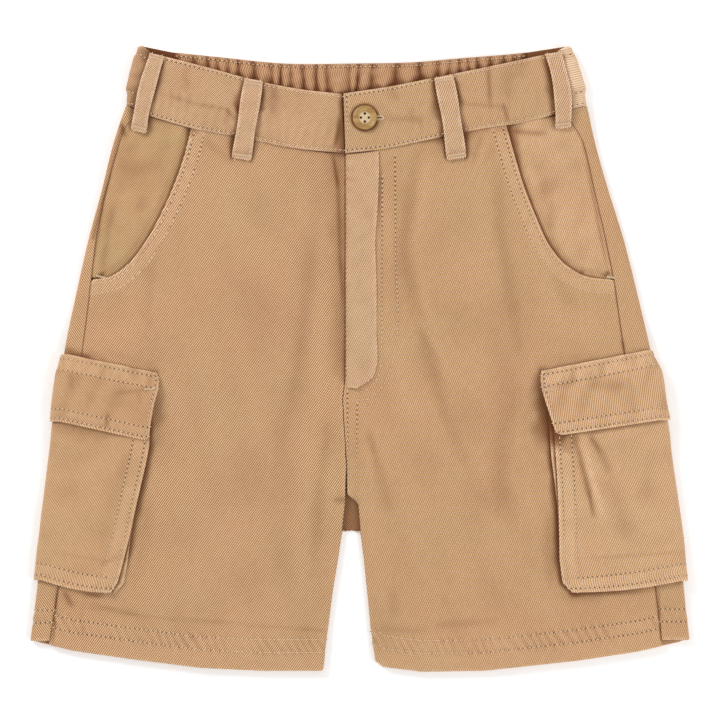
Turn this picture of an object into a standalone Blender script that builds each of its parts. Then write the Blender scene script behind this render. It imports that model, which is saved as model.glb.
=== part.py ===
"""Cargo shorts for a child, laid flat on a surface.

The frame: X across the garment, Y up its length, Z up from the surface it lies on.  The origin
is under the middle of the laid garment.  Every size and place below is in millimetres, and
add_sheet and add_button turn them into metres.  Each cloth piece is a wall: a grid of points on
its outer face, and the same grid set in by the wall's thickness.
"""
from collections import namedtuple
import math

import bmesh
import bpy
import numpy as np

METRES = 0.001

# --- driving sizes ----------
CLOTH = 1.2              # wall of a single turned layer of drill
FACING_CLOTH = 1.0       # pocket facing and gusset
BAND_CLOTH = 2.2         # doubled waistband
LOOP_CLOTH = 1.8         # belt loop, folded in three
SEAM_GAP = 0.3           # between pieces at a seam, and between stacked pieces
BODY_HEIGHT = 4.3        # top of the front above the underside of the back
WAIST_EXTRA = 1.1        # the fronts rise to meet the band
WAIST_FADE = 18.0        # how far below the band that rise fades
HEM_HEIGHT = 19.0        # turned-up hem
HEM_EXTRA = 0.6          # the hem stands proud by this
HEM_INNER = 1.0          # extra cloth inside the hem
BAND_HEIGHT = 6.2        # top of the waistband above the surface
BAND_FOLD = 3.0          # half width of the band's fold at the sides
LEG_FOLD = 2.2           # half width of the leg's outer fold
INSEAM_ROLL = 2.2        # how far in the inseam edge starts to turn down
CROTCH_TOP = -80.0       # the legs part from here
LEGS_PARTED = -92.0      # and their inseam edges are fully turned from here
CROTCH_BOTTOM = -103.2   # the back's crotch edge between the legs
BACK_CENTRE = -4.8       # centre-back seam
WEDGE_DIP = 1.0          # the lower half of the band drops under the upper half
WEDGE_TOP = -11.2        # the dip starts here at the band's top edge
WEDGE_FOOT = -15.8       # and here at its lower edge
WEDGE_THIN = 0.8         # the dip's wall is thinner by this
GUSSET_WIDTH = 11.0
BAG_OFFSET = 2.8         # outer face of the pocket bag above the leg, room for the gusset
BAG_UNDER = 1.5          # and on the back half, pressed flat beneath the leg
FLAP_UNDER = 3.0         # outer face of the flap beneath the leg
POCKET_BACK = 38.0       # how far the pocket reaches round to the back
POCKET_SLOPE = 0.05      # the pocket's rows drop by this on the back
LIFT_FADE = 24.0         # the back bends up over the pocket's back half in this length
LIFT_STEP = 24.0         # and from the bag's level to the flap's in this length
LIFT_MARGIN = 1.5
BUTTON_X = 2.9
BUTTON_Y = 144.7
BUTTON_RADIUS = 7.3
BUTTON_THICK = 2.6
BUTTON_HOLE = 0.8        # radius
BUTTON_HOLE_RING = 2.4   # holes' distance from the middle

LEFT, RIGHT = -1, 1
SIDE_NAME = {LEFT: "left", RIGHT: "right"}

# --- the outline, a row for each height ----------
Edges = namedtuple("Edges", "y left right")
Point = namedtuple("Point", "x y")

LEG_FOLDS = [            # outer fold of the leg
    Edges(153.0, -140.4, 136.2), Edges(131.4, -147.6, 140.8), Edges(102.6, -154.8, 148.8),
    Edges(73.8, -162.6, 157.8), Edges(45.0, -169.2, 165.2), Edges(6.6, -177.0, 174.0),
    Edges(-31.8, -181.2, 181.2), Edges(-70.2, -185.7, 186.3), Edges(-108.6, -190.5, 191.8),
    Edges(-137.4, -193.8, 194.4), Edges(-169.2, -198.0, 198.0)]

SIDE_SEAMS = [           # where front meets back, on the front face
    Edges(147.6, -131.4, 122.2), Edges(139.8, -140.4, 128.4), Edges(131.4, -144.0, 133.4),
    Edges(119.7, -147.6, 136.8), Edges(102.0, -152.2, 140.6), Edges(79.8, -157.2, 145.8),
    Edges(47.4, -161.4, 152.4), Edges(11.4, -165.9, 157.6), Edges(-60.0, -173.6, 167.4),
    Edges(-138.6, -181.4, 177.6), Edges(-171.0, -186.6, 181.4)]

INNER_EDGES = [          # centre front down to the crotch, then the inseam
    Edges(123.0, -9.2, -8.8), Edges(-12.0, -9.2, -8.8), Edges(-24.0, -10.6, -10.2),
    Edges(-37.0, -10.0, -9.6), Edges(-48.6, -9.1, -8.7), Edges(-64.0, -8.2, -7.8),
    Edges(-81.0, -8.6, -7.8), Edges(-87.0, -8.8, -1.3), Edges(-103.2, -10.6, 0.1),
    Edges(-120.6, -13.2, 2.3), Edges(-138.6, -16.2, 4.2), Edges(-166.2, -19.8, 6.8),
    Edges(-187.8, -22.2, 10.4)]

HEM = [                  # left leg, then right leg
    Point(-198.0, -169.2), Point(-186.6, -171.6), Point(-172.2, -175.2), Point(-134.4, -180.6),
    Point(-96.0, -185.4), Point(-60.0, -187.2), Point(-22.2, -187.2),
    Point(10.4, -182.0), Point(14.0, -184.8), Point(37.2, -187.8), Point(75.0, -187.2),
    Point(130.2, -181.2), Point(166.2, -175.8), Point(198.0, -168.6)]

SCOOPS = {               # mouth of the hip pocket, from the band to the side seam
    LEFT: [Point(-101.4, 138.2), Point(-105.0, 123.6), Point(-116.4, 93.6),
           Point(-127.2, 72.9), Point(-138.0, 58.2), Point(-149.4, 49.8), Point(-161.4, 47.4)],
    RIGHT: [Point(87.9, 139.8), Point(92.4, 123.6), Point(97.8, 105.6), Point(105.0, 87.0),
            Point(114.0, 67.8), Point(123.0, 57.0), Point(133.8, 50.4), Point(152.4, 47.4)]}

# --- the waistband, a row for each section ----------
Section = namedtuple("Section", "top_x top_y low_x low_y")

FRONT_BAND = {
    LEFT: [Section(-125.0, 183.4, -131.2, 147.3), Section(-92.4, 175.2, -102.0, 138.6),
           Section(-63.6, 167.4, -70.8, 132.6), Section(-36.6, 162.0, -40.8, 126.6),
           Section(-10.5, 159.0, -9.2, 123.4)],
    RIGHT: [Section(-9.9, 159.3, -8.8, 123.4), Section(18.0, 163.5, 15.0, 126.0),
            Section(43.8, 168.6, 42.0, 131.7), Section(72.0, 174.3, 71.4, 137.7),
            Section(96.0, 179.4, 98.4, 141.9), Section(117.6, 184.0, 121.7, 147.9)]}

BAND_FOLDS = [           # outer edge of the back band: margin, elastic channel, margin
    Edges(187.8, -133.2, 126.8), Edges(184.0, -134.2, 128.0), Edges(181.2, -136.0, 129.8),
    Edges(162.0, -140.7, 135.9), Edges(159.6, -139.8, 134.9), Edges(151.5, -140.3, 136.2)]

Across = namedtuple("Across", "x top")

BACK_BAND = [            # upper edge of the back band
    Across(-137.3, 186.8), Across(-83.4, 181.2), Across(-46.8, 177.6), Across(0.0, 177.6),
    Across(30.6, 178.2), Across(63.0, 180.9), Across(95.4, 183.6), Across(126.8, 187.8)]
BACK_WAIST_SIDE = 151.5  # lower edge of the back band at the sides
BACK_WAIST_CENTRE = 142.0
BACK_WAIST_REACH = 135.0

BAND_END = {             # where the back band meets the front band, under the side loops
    LEFT: Section(-125.4, 183.9, -131.6, 147.8), RIGHT: Section(118.0, 184.6, 122.1, 148.4)}

Gather = namedtuple("Gather", "x depth")

GATHERS = [              # folds pulled in by the elastic, left to right
    Gather(-112.8, 0.7), Gather(-99.0, 1.2), Gather(-91.2, 1.7), Gather(-85.2, 1.3),
    Gather(-79.8, 1.2), Gather(-73.2, 1.7), Gather(-63.6, 1.8), Gather(-53.1, 1.4),
    Gather(-47.4, 1.8), Gather(-42.0, 1.2), Gather(-34.2, 1.6), Gather(-25.8, 1.7),
    Gather(-19.8, 1.3), Gather(-6.0, 1.1), Gather(-1.8, 1.9), Gather(6.6, 1.4),
    Gather(21.6, 1.7), Gather(36.6, 1.9), Gather(46.2, 1.4), Gather(52.8, 1.1),
    Gather(60.6, 1.7), Gather(65.4, 1.3), Gather(71.4, 1.7), Gather(78.6, 1.4),
    Gather(86.4, 1.6), Gather(93.0, 1.2), Gather(100.8, 1.0)]
GATHER_CREST = 2.0       # a crest stands this far above the plain band
BAND_INNER_WALL = 1.5    # wall of the back band at the foot of a gather
BAND_SIDE_WALL = 2.0

# --- the fly, the pockets and the loops ----------
FlyRow = namedtuple("FlyRow", "left_y right_x right_y")

FLY = [
    FlyRow(122.4, 11.2, 124.6), FlyRow(108.0, 11.4, 110.0), FlyRow(88.0, 10.4, 88.0),
    FlyRow(70.0, 9.2, 70.0), FlyRow(46.0, 9.9, 46.0), FlyRow(20.0, 10.0, 20.0),
    FlyRow(2.0, 10.5, 1.0), FlyRow(-5.0, 9.9, -4.4), FlyRow(-11.0, 7.4, -11.0),
    FlyRow(-15.0, 3.4, -14.6), FlyRow(-17.2, -1.6, -17.4)]
FLY_LEFT = -8.3

PocketRow = namedtuple("PocketRow", "edge_x edge_y fold_y")

FLAPS = {
    LEFT: [PocketRow(-121.8, -8.1, 3.0), PocketRow(-120.3, -12.6, -1.4),
           PocketRow(-121.0, -19.0, -8.0), PocketRow(-123.3, -27.0, -15.0),
           PocketRow(-125.4, -39.0, -27.6), PocketRow(-126.3, -46.5, -35.0),
           PocketRow(-126.6, -49.2, -37.5)],
    RIGHT: [PocketRow(108.9, -6.9, 5.4), PocketRow(108.2, -12.0, 0.4),
            PocketRow(109.0, -18.6, -6.4), PocketRow(111.0, -25.2, -14.0),
            PocketRow(114.6, -36.0, -26.0), PocketRow(117.0, -43.4, -34.2),
            PocketRow(118.6, -46.0, -36.6)]}
FLAP_RISE = [1.7, 2.7, 4.1, 4.4, 4.4, 4.4, 4.4]   # outer face above the leg, row by row

BAGS = {
    LEFT: [PocketRow(-125.4, -23.4, -11.4), PocketRow(-126.3, -52.2, -39.0),
           PocketRow(-127.9, -60.8, -48.0),
           PocketRow(-130.0, -70.0, -58.0), PocketRow(-134.2, -88.0, -76.0),
           PocketRow(-138.0, -106.2, -95.0), PocketRow(-142.0, -122.0, -113.0),
           PocketRow(-145.2, -133.8, -125.6), PocketRow(-149.4, -140.4, -132.6)],
    RIGHT: [PocketRow(115.2, -24.6, -12.6), PocketRow(116.8, -48.6, -37.2),
            PocketRow(117.5, -60.0, -49.4), PocketRow(118.2, -71.4, -61.8),
            PocketRow(119.0, -88.0, -79.0),
            PocketRow(119.4, -104.0, -96.0), PocketRow(119.7, -120.6, -113.4),
            PocketRow(121.4, -134.0, -127.6), PocketRow(127.2, -140.1, -133.2)]}
BAG_SAG = 1.8            # the bag's lower edge bows down by this

GUSSET_BULGE = {         # how far the gusset shows past the bag, down its front edge
    LEFT: [0.0, 0.0, 0.0, 0.0, 0.0, 0.6, 2.6, 4.0, 2.6],
    RIGHT: [2.6, 3.0, 2.6, 1.8, 0.6, 0.0, 0.0, 0.0, 0.0]}

Loop = namedtuple("Loop", "name top_x top_y low_x low_y width bow")

LOOPS = [
    Loop("loop_side_left", -121.5, 182.6, -132.9, 136.0, 9.6, -1.2),
    Loop("loop_front_left", -63.6, 167.6, -71.2, 119.6, 11.6, 0.0),
    Loop("loop_front_right", 50.1, 169.4, 58.0, 119.8, 11.6, 0.6),
    Loop("loop_side_right", 115.8, 183.6, 121.8, 138.0, 10.0, 2.4)]
LOOP_ARCH = 0.9          # a loop stands off the band by this at mid length
LOOP_ARCH_POWER = 0.7
LOOP_STEP_DOWN = (0.86, 0.96)   # shares of its length where it drops from the band to the leg
LOOP_STATIONS = 13

Fold = namedtuple("Fold", "x0 y0 x1 y1 reach depth")

BODY_FOLDS = [           # soft troughs (depth over 0) and ridges (under 0) of the laid fronts
    Fold(-12.6, 118.0, -13.2, 76.0, 6.0, 1.1), Fold(-13.2, 76.0, -12.8, -8.0, 5.0, 1.1),
    Fold(-26.0, -130.0, -31.0, -168.0, 6.0, 0.5), Fold(-40.0, -20.0, -48.0, -150.0, 9.0, 0.4),
    Fold(25.0, 95.0, 26.0, 20.0, 7.0, 0.5), Fold(86.0, 30.0, 88.0, -90.0, 9.0, 0.5),
    Fold(20.0, -120.0, 18.0, -165.0, 6.0, 0.4), Fold(6.5, -60.0, 8.0, -120.0, 4.0, -0.5)]
CROTCH_DIP = 1.3         # the front rise sinks between the legs

DRILL = (0.549, 0.330, 0.169)
DRILL_POCKET = (0.570, 0.344, 0.184)
DRILL_FACING = (0.533, 0.319, 0.165)
DRILL_BAND = (0.570, 0.344, 0.187)
DRILL_FLY = (0.613, 0.385, 0.225)
DRILL_INNER = (0.500, 0.290, 0.145)
HORN = (0.491, 0.311, 0.143)


# --- small mathematics ----------
def curve(keys, values, at):
    """A smooth cubic through a table's rows, level with its ends outside them."""
    order = np.argsort(keys)
    keys = np.asarray(keys, float)[order]
    values = np.asarray(values, float)[order]
    slopes = np.gradient(values, keys)
    at = np.clip(at, keys[0], keys[-1])
    row = np.clip(np.searchsorted(keys, at) - 1, 0, len(keys) - 2)
    span = keys[row + 1] - keys[row]
    t = (at - keys[row]) / span
    start = (1 + 2 * t) * (1 - t) ** 2 * values[row] + t * (1 - t) ** 2 * span * slopes[row]
    end = t * t * (3 - 2 * t) * values[row + 1] + t * t * (t - 1) * span * slopes[row + 1]
    return start + end


def straight(table, at, side):
    """A table of Edges read at the height at, with straight lines between its rows."""
    rows = sorted(table)
    return np.interp(at, [r.y for r in rows], [r.right if side == RIGHT else r.left for r in rows])


def edge(table, at, side):
    """The same, with a smooth curve through the rows."""
    return curve([r.y for r in table], [r.right if side == RIGHT else r.left for r in table], at)


def ease(low, high, at):
    """0 below low, 1 above high, smooth between."""
    t = np.clip((at - low) / (high - low), 0.0, 1.0)
    return t * t * (3 - 2 * t)


def mix(a, b, t):
    return a + (b - a) * t


def hem_y(x):
    return np.interp(x, [p.x for p in HEM], [p.y for p in HEM])


def waist_y(x):
    """Height of the front waist seam."""
    rows = FRONT_BAND[LEFT] + FRONT_BAND[RIGHT][1:]
    return curve([r.low_x for r in rows], [r.low_y for r in rows], x)


def back_waist_y(x):
    away = np.minimum(np.abs(x - BACK_CENTRE) / BACK_WAIST_REACH, 1.0)
    return mix(BACK_WAIST_CENTRE, BACK_WAIST_SIDE, away)


def back_top_y(x):
    return curve([r.x for r in BACK_BAND], [r.top for r in BACK_BAND], x)


# --- the form of the laid garment ----------
def lift(side, x, y):
    """How far the back is raised by the pocket's back half beneath it."""
    inward = side * (edge(LEG_FOLDS, y, side) - x)
    across = 1 - ease(POCKET_BACK + LIFT_MARGIN, POCKET_BACK + LIFT_MARGIN + LIFT_FADE, inward)
    top = FLAPS[side][0].fold_y + LIFT_MARGIN
    flap_foot = FLAPS[side][-1].fold_y - POCKET_SLOPE * POCKET_BACK - LIFT_MARGIN
    foot = BAGS[side][-1].fold_y - POCKET_SLOPE * POCKET_BACK - LIFT_MARGIN
    below_top = 1 - ease(top, top + LIFT_FADE, y)
    bag = BAG_UNDER * below_top * ease(foot - LIFT_FADE, foot, y)
    flap = (FLAP_UNDER - BAG_UNDER) * below_top * ease(flap_foot - LIFT_STEP, flap_foot, y)
    return across * (bag + flap)


def body_folds(x, y):
    """Sum of the laid folds: troughs count down, ridges up."""
    total = np.zeros(np.broadcast(x, y).shape)
    for fold in BODY_FOLDS:
        run = np.array([fold.x1 - fold.x0, fold.y1 - fold.y0])
        length = np.hypot(*run)
        t = ((x - fold.x0) * run[0] + (y - fold.y0) * run[1]) / length ** 2
        near = np.clip(t, 0, 1)
        away = np.hypot(x - fold.x0 - near * run[0], y - fold.y0 - near * run[1])
        total = total - fold.depth * np.exp(-(away / fold.reach) ** 2)
    return total


RISE_STRIP = (-9.0, -8.5, -4.5, 0.5)     # across: where the sunk front rise starts and ends
RISE_STRIP_TOP = -47.0


def body_height(x, y):
    """Top of the front above the underside of the back at a point."""
    below_band = np.maximum(waist_y(x) - y, 0.0)
    above_hem = y - hem_y(x)
    height = BODY_HEIGHT + WAIST_EXTRA * np.exp(-below_band / WAIST_FADE)
    height = height + HEM_EXTRA * (1 - ease(HEM_HEIGHT - 1, HEM_HEIGHT + 3, above_hem))
    calm = ease(HEM_HEIGHT - 6, HEM_HEIGHT + 8, above_hem)
    height = height + body_folds(x, y) * (0.25 + 0.75 * calm)
    across = ease(RISE_STRIP[0], RISE_STRIP[1], x) * (1 - ease(RISE_STRIP[2], RISE_STRIP[3], x))
    sunk = ease(RISE_STRIP_TOP, CROTCH_TOP, y) * across * (y > CROTCH_BOTTOM)
    return height - CROTCH_DIP * sunk


def front_top(side, x, y):
    return lift(side, x, y) + body_height(x, y)


def around_fold(side, y, angle, offset, table=LEG_FOLDS, half=LEG_FOLD, height=None):
    """A point on the outer fold: angle 90 is on top, -90 beneath, offset is outwards."""
    centre_x = edge(table, y, side) - side * half
    low = 0.0 if height else lift(side, centre_x, y)
    thick = height or body_height(centre_x, y)
    turn = math.radians(angle)
    return (centre_x + side * (half + offset) * math.cos(turn), y,
            low + thick / 2 + (thick / 2 + offset) * math.sin(turn))


def fold_start(side, y):
    return edge(LEG_FOLDS, y, side) - side * LEG_FOLD


def hem_wall(points, flat):
    """Wall of a leg panel: the hem is turned up inside, thinner where the panel turns an edge."""
    above = points[..., 1] - hem_y(points[..., 0])
    return CLOTH + HEM_INNER * flat * (1 - ease(HEM_HEIGHT - 1.5, HEM_HEIGHT, above))


# --- grids to solids ----------
def grid_normals(points):
    """Unit normals of a grid of points that face up at its first corner."""
    down = np.gradient(points, axis=0)
    across = np.gradient(points, axis=1)
    normals = np.cross(down, across)
    normals /= np.linalg.norm(normals, axis=2, keepdims=True)
    return normals if normals[0, 0, 2] > 0 else -normals


def fabric(name, colour):
    material = bpy.data.materials.new(name)
    material.use_nodes = True
    shader = material.node_tree.nodes["Principled BSDF"]
    shader.inputs["Base Color"].default_value = (*colour, 1.0)
    shader.inputs["Roughness"].default_value = 0.9
    return material


def finish_object(name, mesh, material):
    mesh.materials.append(material)
    mesh.shade_smooth()
    mesh.set_sharp_from_angle(angle=math.radians(50))
    piece = bpy.data.objects.new(name, mesh)
    bpy.context.scene.collection.objects.link(piece)
    return piece


def add_sheet(name, outer, inner, material):
    """A closed wall between two grids of points, outer face first."""
    rows, columns = outer.shape[:2]
    count = rows * columns
    index = np.arange(count).reshape(rows, columns)
    faces = []
    for r in range(rows - 1):
        for c in range(columns - 1):
            quad = [index[r, c], index[r + 1, c], index[r + 1, c + 1], index[r, c + 1]]
            faces.append(quad)
            faces.append([i + count for i in reversed(quad)])
    rim = [*index[0, :-1], *index[:-1, -1], *index[-1, :0:-1], *index[:0:-1, 0]]
    for here, after in zip(rim, rim[1:] + rim[:1]):
        faces.append([here, after, after + count, here + count])
    down = outer[1, 0] - outer[0, 0]
    across = outer[0, 1] - outer[0, 0]
    wall = outer[0, 0] - inner[0, 0]
    if np.dot(np.cross(down, across), wall) < 0:
        faces = [list(reversed(face)) for face in faces]
    points = np.concatenate([outer.reshape(-1, 3), inner.reshape(-1, 3)]) * METRES
    mesh = bpy.data.meshes.new(name)
    mesh.from_pydata(points.tolist(), [], [[int(i) for i in face] for face in faces])
    return finish_object(name, mesh, material)


TURNED_WEIGHT = 8.0      # the last column's normal leans this much to its way out


def add_wall(name, outer, wall, material, turned_edge=None):
    """A sheet whose inner face is set in along the normals.

    turned_edge gives the way out of the last column, where the cloth has turned down or up.
    """
    thickness = np.broadcast_to(wall, outer.shape[:2])[..., None]
    normals = grid_normals(outer)
    if turned_edge is not None:
        normals[:, -1] += turned_edge * TURNED_WEIGHT
        normals[:, -1] /= np.linalg.norm(normals[:, -1], axis=1, keepdims=True)
    return add_sheet(name, outer, outer - normals * thickness, material)


def legs_apart(y):
    """0 above the crotch, 1 where each leg has its own inner edge."""
    return 1 - ease(LEGS_PARTED, CROTCH_TOP, y)


def polyline(points, fractions):
    """Points at fractions of a line's length, on a smooth curve through its corners."""
    points = np.asarray(points, float)
    steps = np.hypot(*np.diff(points, axis=0).T)
    length = np.concatenate([[0.0], np.cumsum(steps)])
    at = np.asarray(fractions) * length[-1]
    return np.stack([curve(length, points[:, 0], at), curve(length, points[:, 1], at)], axis=1)


# --- fronts and backs ----------
FRONT_ROWS = [123.0, 108.0, 93.0, 78.0, 62.0, 46.0, 32.0, 23.0, 15.0, 7.0, -4.0, -16.0, -28.0,
              -40.0, -48.0, -56.0, -64.0, -73.0, -81.0, -87.0, -98.0, -110.0, -122.0, -133.0,
              -143.0, -152.0, -161.0, -168.0, -176.0]
SCOOP_ROWS = 7           # rows of the front that end on the pocket mouth
FRONT_SHARES = (0.0, 0.06, 0.12, 0.17, 0.22, 0.27, 0.33, 0.41, 0.52, 0.66, 0.82, 0.95)
EDGE_COLUMNS = (2.6, 1.5, 0.6, 0.0)   # distances from the inner edge
HEM_CLOTH_FROM = 3.0     # the hem's extra layer starts this far from the inner edge
HEM_CLOTH_FULL = 5.0     # and is whole from here


def front_outline(side):
    """Outer edge, inner edge, waist and hem of a front panel, as plan points."""
    scoop = polyline(SCOOPS[side], np.linspace(0, 1, SCOOP_ROWS))
    foot_y = hem_y(edge(SIDE_SEAMS, SIDE_SEAMS[-1].y, side))
    seam_rows = len(FRONT_ROWS) + 2 - SCOOP_ROWS
    seam_y = np.linspace(scoop[-1][1], foot_y, seam_rows)[1:]
    seam = np.stack([edge(SIDE_SEAMS, seam_y, side) - side * SEAM_GAP / 2, seam_y], axis=1)
    outer = np.concatenate([scoop, seam])
    hem_in = INNER_EDGES[-1].right if side == RIGHT else INNER_EDGES[-1].left
    inner_y = np.array(FRONT_ROWS + [hem_y(hem_in)])
    inner = np.stack([straight(INNER_EDGES, inner_y, side), inner_y], axis=1)
    u = np.array(FRONT_SHARES + (1.0,))
    waist_x = mix(outer[0][0], inner[0][0], u)
    waist = np.stack([waist_x, waist_y(waist_x) - SEAM_GAP], axis=1)
    hem_x = mix(outer[-1][0], inner[-1][0], u)
    hem = np.stack([hem_x, hem_y(hem_x)], axis=1)
    outer[0], inner[0] = waist[0], waist[-1]
    outer[-1], inner[-1] = hem[0], hem[-1]
    return outer, inner, waist, hem


def fill_outline(outer, inner, waist, hem):
    """Plan points inside four edges, blended from all of them."""
    v = np.linspace(0, 1, len(outer))[:, None, None]
    u = np.array(FRONT_SHARES + (1.0,))[None, :, None]
    plan = (1 - u) * outer[:, None] + u * inner[:, None] + (1 - v) * waist[None] + v * hem[None]
    corners = (1 - u) * (1 - v) * outer[0] + u * (1 - v) * inner[0]
    return plan - corners - (1 - u) * v * outer[-1] - u * v * inner[-1]


def inseam_turn(distance, y):
    """Share of the way down to mid height at a distance from the inner edge."""
    t = np.clip(1 - distance / INSEAM_ROLL, 0, 1)
    return (1 - np.sqrt(1 - t * t)) * legs_apart(y)


def front_panel(side):
    outer, inner, waist, hem = front_outline(side)
    plan = fill_outline(outer, inner, waist, hem)[:, :-1]
    edges = np.stack([inner + [side * step, 0.0] for step in EDGE_COLUMNS], axis=1)
    plan = np.concatenate([plan, edges], axis=1)
    x, y = plan[..., 0], plan[..., 1]
    away = side * (x - inner[:, None, 0])
    z = front_top(side, x, y)
    middle = lift(side, x, y) + BODY_HEIGHT / 2 + SEAM_GAP
    z = z - (z - middle) * inseam_turn(away, y)
    points = np.stack([x, y, z], axis=2)
    wall = hem_wall(points, ease(HEM_CLOTH_FROM, HEM_CLOTH_FULL, away))
    turned = legs_apart(inner[:, 1])[:, None] * np.array([-side, 0.0, 0.0])
    add_wall("front_" + SIDE_NAME[side], points, wall, MATERIALS["drill"], turned)


BACK_FOLD_ROWS = [       # heights of the back's rows where they cross the outer fold
    136.0, 115.0, 94.0, 73.0, 53.0, 36.0, 28.0, 20.0, 12.0, 4.0, -12.0, -28.0, -39.0, -46.0,
    -52.0, -58.0, -72.0, -86.6, -88.6, -104.0, -120.0, -134.0, -142.0, -150.0, -158.0]
BACK_TOP_STEPS = (0.0, 0.5)               # columns from the side seam to the fold
BACK_TOP_SKEW = 0.125    # share of the height in which the rows turn level below the band
BACK_ARC = (90, 60, 30, 0, -30, -60, -90)
BACK_UNDER = (12.0, 24.0, 35.0, 42.0, 48.5, 55.0, 62.0)   # columns, distances from the fold
BACK_CENTRE_STEPS = (0.33, 0.66, 1.0)                     # columns over the rest of the width
BACK_CENTRE_GAP = 5.0    # the last of them is this far from the inner edge
SETTLE_ROUNDS = 5


def back_edge_x(side, y):
    """Inner edge of a back: centre-back seam, then the inseam below the crotch."""
    centre = BACK_CENTRE + side * SEAM_GAP / 2
    return np.where(y > CROTCH_BOTTOM - 1.0, centre, straight(INNER_EDGES, y, side))


def back_y(x, share):
    return mix(back_waist_y(x) - SEAM_GAP, hem_y(x), share)


def settle(place, share):
    """A column's point on a row of the back: where it crosses depends on its own height."""
    y = mix(BACK_WAIST_SIDE, HEM[0].y, share)
    for _ in range(SETTLE_ROUNDS):
        y = float(back_y(place(y), share))
    return float(place(y)), y


def back_columns(side):
    """How each column beneath the garment is placed: a function of the height."""
    def from_fold(distance):
        return lambda y: edge(LEG_FOLDS, y, side) - side * distance

    def from_centre(distance):
        return lambda y: back_edge_x(side, y) + side * distance

    def between(share):
        return lambda y: mix(edge(LEG_FOLDS, y, side) - side * BACK_UNDER[-1],
                             back_edge_x(side, y) + side * BACK_CENTRE_GAP, share)

    return ([from_fold(d) for d in BACK_UNDER] + [between(t) for t in BACK_CENTRE_STEPS]
            + [from_centre(d) for d in EDGE_COLUMNS])


def back_panel(side):
    waist = BACK_WAIST_SIDE - SEAM_GAP
    foot = HEM[-1].y if side == RIGHT else HEM[0].y
    shares = [0.0] + [(waist - y) / (waist - foot) for y in BACK_FOLD_ROWS] + [1.0]
    rows = []
    for share in shares:
        row = []
        _, fold_y = settle(lambda y: edge(LEG_FOLDS, y, side), share)
        for step in BACK_TOP_STEPS:
            skew = (1 - step) * max(0.0, 1 - share / BACK_TOP_SKEW)
            y = fold_y - (BACK_WAIST_SIDE - BAND_END[side].low_y) * skew
            seam = edge(SIDE_SEAMS, y, side) + side * SEAM_GAP / 2
            x = mix(seam, fold_start(side, y), step)
            row.append((x, y, front_top(side, x, y)))
        row += [around_fold(side, fold_y, angle, 0.0) for angle in BACK_ARC]
        for place in back_columns(side):
            x, y = settle(place, share)
            gap = side * (x - back_edge_x(side, y))
            apart = 1.0 if y < CROTCH_BOTTOM - 1.0 else 0.0
            turned = (BODY_HEIGHT / 2 - SEAM_GAP) * apart * inseam_turn(gap, y)
            row.append((x, y, lift(side, x, y) + turned))
        rows.append(row)
    points = np.array(rows, float)
    under = len(BACK_TOP_STEPS) + len(BACK_ARC)
    flat = np.zeros(points.shape[1])
    flat[under:-len(EDGE_COLUMNS)] = 1.0
    apart = (points[:, -1, 1] < CROTCH_BOTTOM - 1.0)[:, None] * np.array([-side, 0.0, 0.0])
    add_wall("back_" + SIDE_NAME[side], points, hem_wall(points, flat), MATERIALS["drill"], apart)


# --- hip pocket facing ----------
FACING_SHARES = (0.0, 0.14, 0.28, 0.42, 0.55, 0.67, 0.78, 0.88, 0.945, 0.985)
FACING_TOP = 147.0       # the facing's upper corner on the side seam
FACING_FOOT_GAP = 0.6    # and its lower one, above the end of the mouth
FACING_TUCK = 7.0        # how far the facing runs on beneath the front
FACING_STEPS = (0.0, 0.3, 0.6, 1.0)      # over the open part, seam to near the mouth
FACING_OPEN = 6.0        # the facing starts to sink this far from the mouth
FACING_SUNK = 1.6        # and is beneath the front from here


def hip_facing(side):
    """The cloth inside the pocket mouth: level with the side seam, sunk under the front."""
    share = np.array(FACING_SHARES)
    mouth = polyline(SCOOPS[side], share)
    ahead = polyline(SCOOPS[side], share + 0.01) - polyline(SCOOPS[side], share - 0.01)
    ahead /= np.hypot(*ahead.T)[:, None]
    inward = np.stack([ahead[:, 1], -ahead[:, 0]], axis=1) * side
    seam_y = mix(FACING_TOP, SCOOPS[side][-1].y + FACING_FOOT_GAP, share)
    seam = np.stack([edge(SIDE_SEAMS, seam_y, side) - side * SEAM_GAP * 2, seam_y], axis=1)
    rows = []
    for r in range(len(share)):
        width = np.hypot(*(seam[r] - mouth[r]))
        opened = mouth[r] - inward[r] * min(FACING_OPEN, 0.5 * width)
        sunk = mouth[r] - inward[r] * min(FACING_SUNK, 0.25 * width)
        plan = [(mix(seam[r], opened, t), 0.0) for t in FACING_STEPS]
        plan += [(sunk, 1.0)]
        plan += [(mouth[r] + inward[r] * tuck * FACING_TUCK, 1.0) for tuck in (0.4, 1.0)]
        row = []
        for (x, y), depth in plan:
            y = min(y, waist_y(x) - SEAM_GAP)
            row.append((x, y, front_top(side, x, y) - depth * (CLOTH + 1.5 * SEAM_GAP)))
        rows.append(row)
    points = np.array(rows, float)
    inner = points - [0.0, 0.0, FACING_CLOTH]
    add_sheet("hip_facing_" + SIDE_NAME[side], points, inner, MATERIALS["facing"])


# --- waistband ----------
BAND_ROWS = 4
BAND_COLUMNS = 15


def band_plan(side, columns, rows):
    """Plan points of a front half of the band, and each point's share of its height."""
    table = FRONT_BAND[side]
    along = np.linspace(0, len(table) - 1, columns)
    number = np.arange(len(table))
    edges = [curve(number, [getattr(r, field) for r in table], along) for field in Section._fields]
    share = np.linspace(0, 1, rows)[:, None]
    return mix(edges[0], edges[2], share), mix(edges[1], edges[3], share), share


def wedge_dip(x, y):
    """The left half sinks where it runs under the right half."""
    end = FRONT_BAND[LEFT][-1]
    line = mix(WEDGE_TOP, WEDGE_FOOT, (end.top_y - y) / (end.top_y - end.low_y))
    return ease(-1.0, 2.0, x - line)


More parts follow.
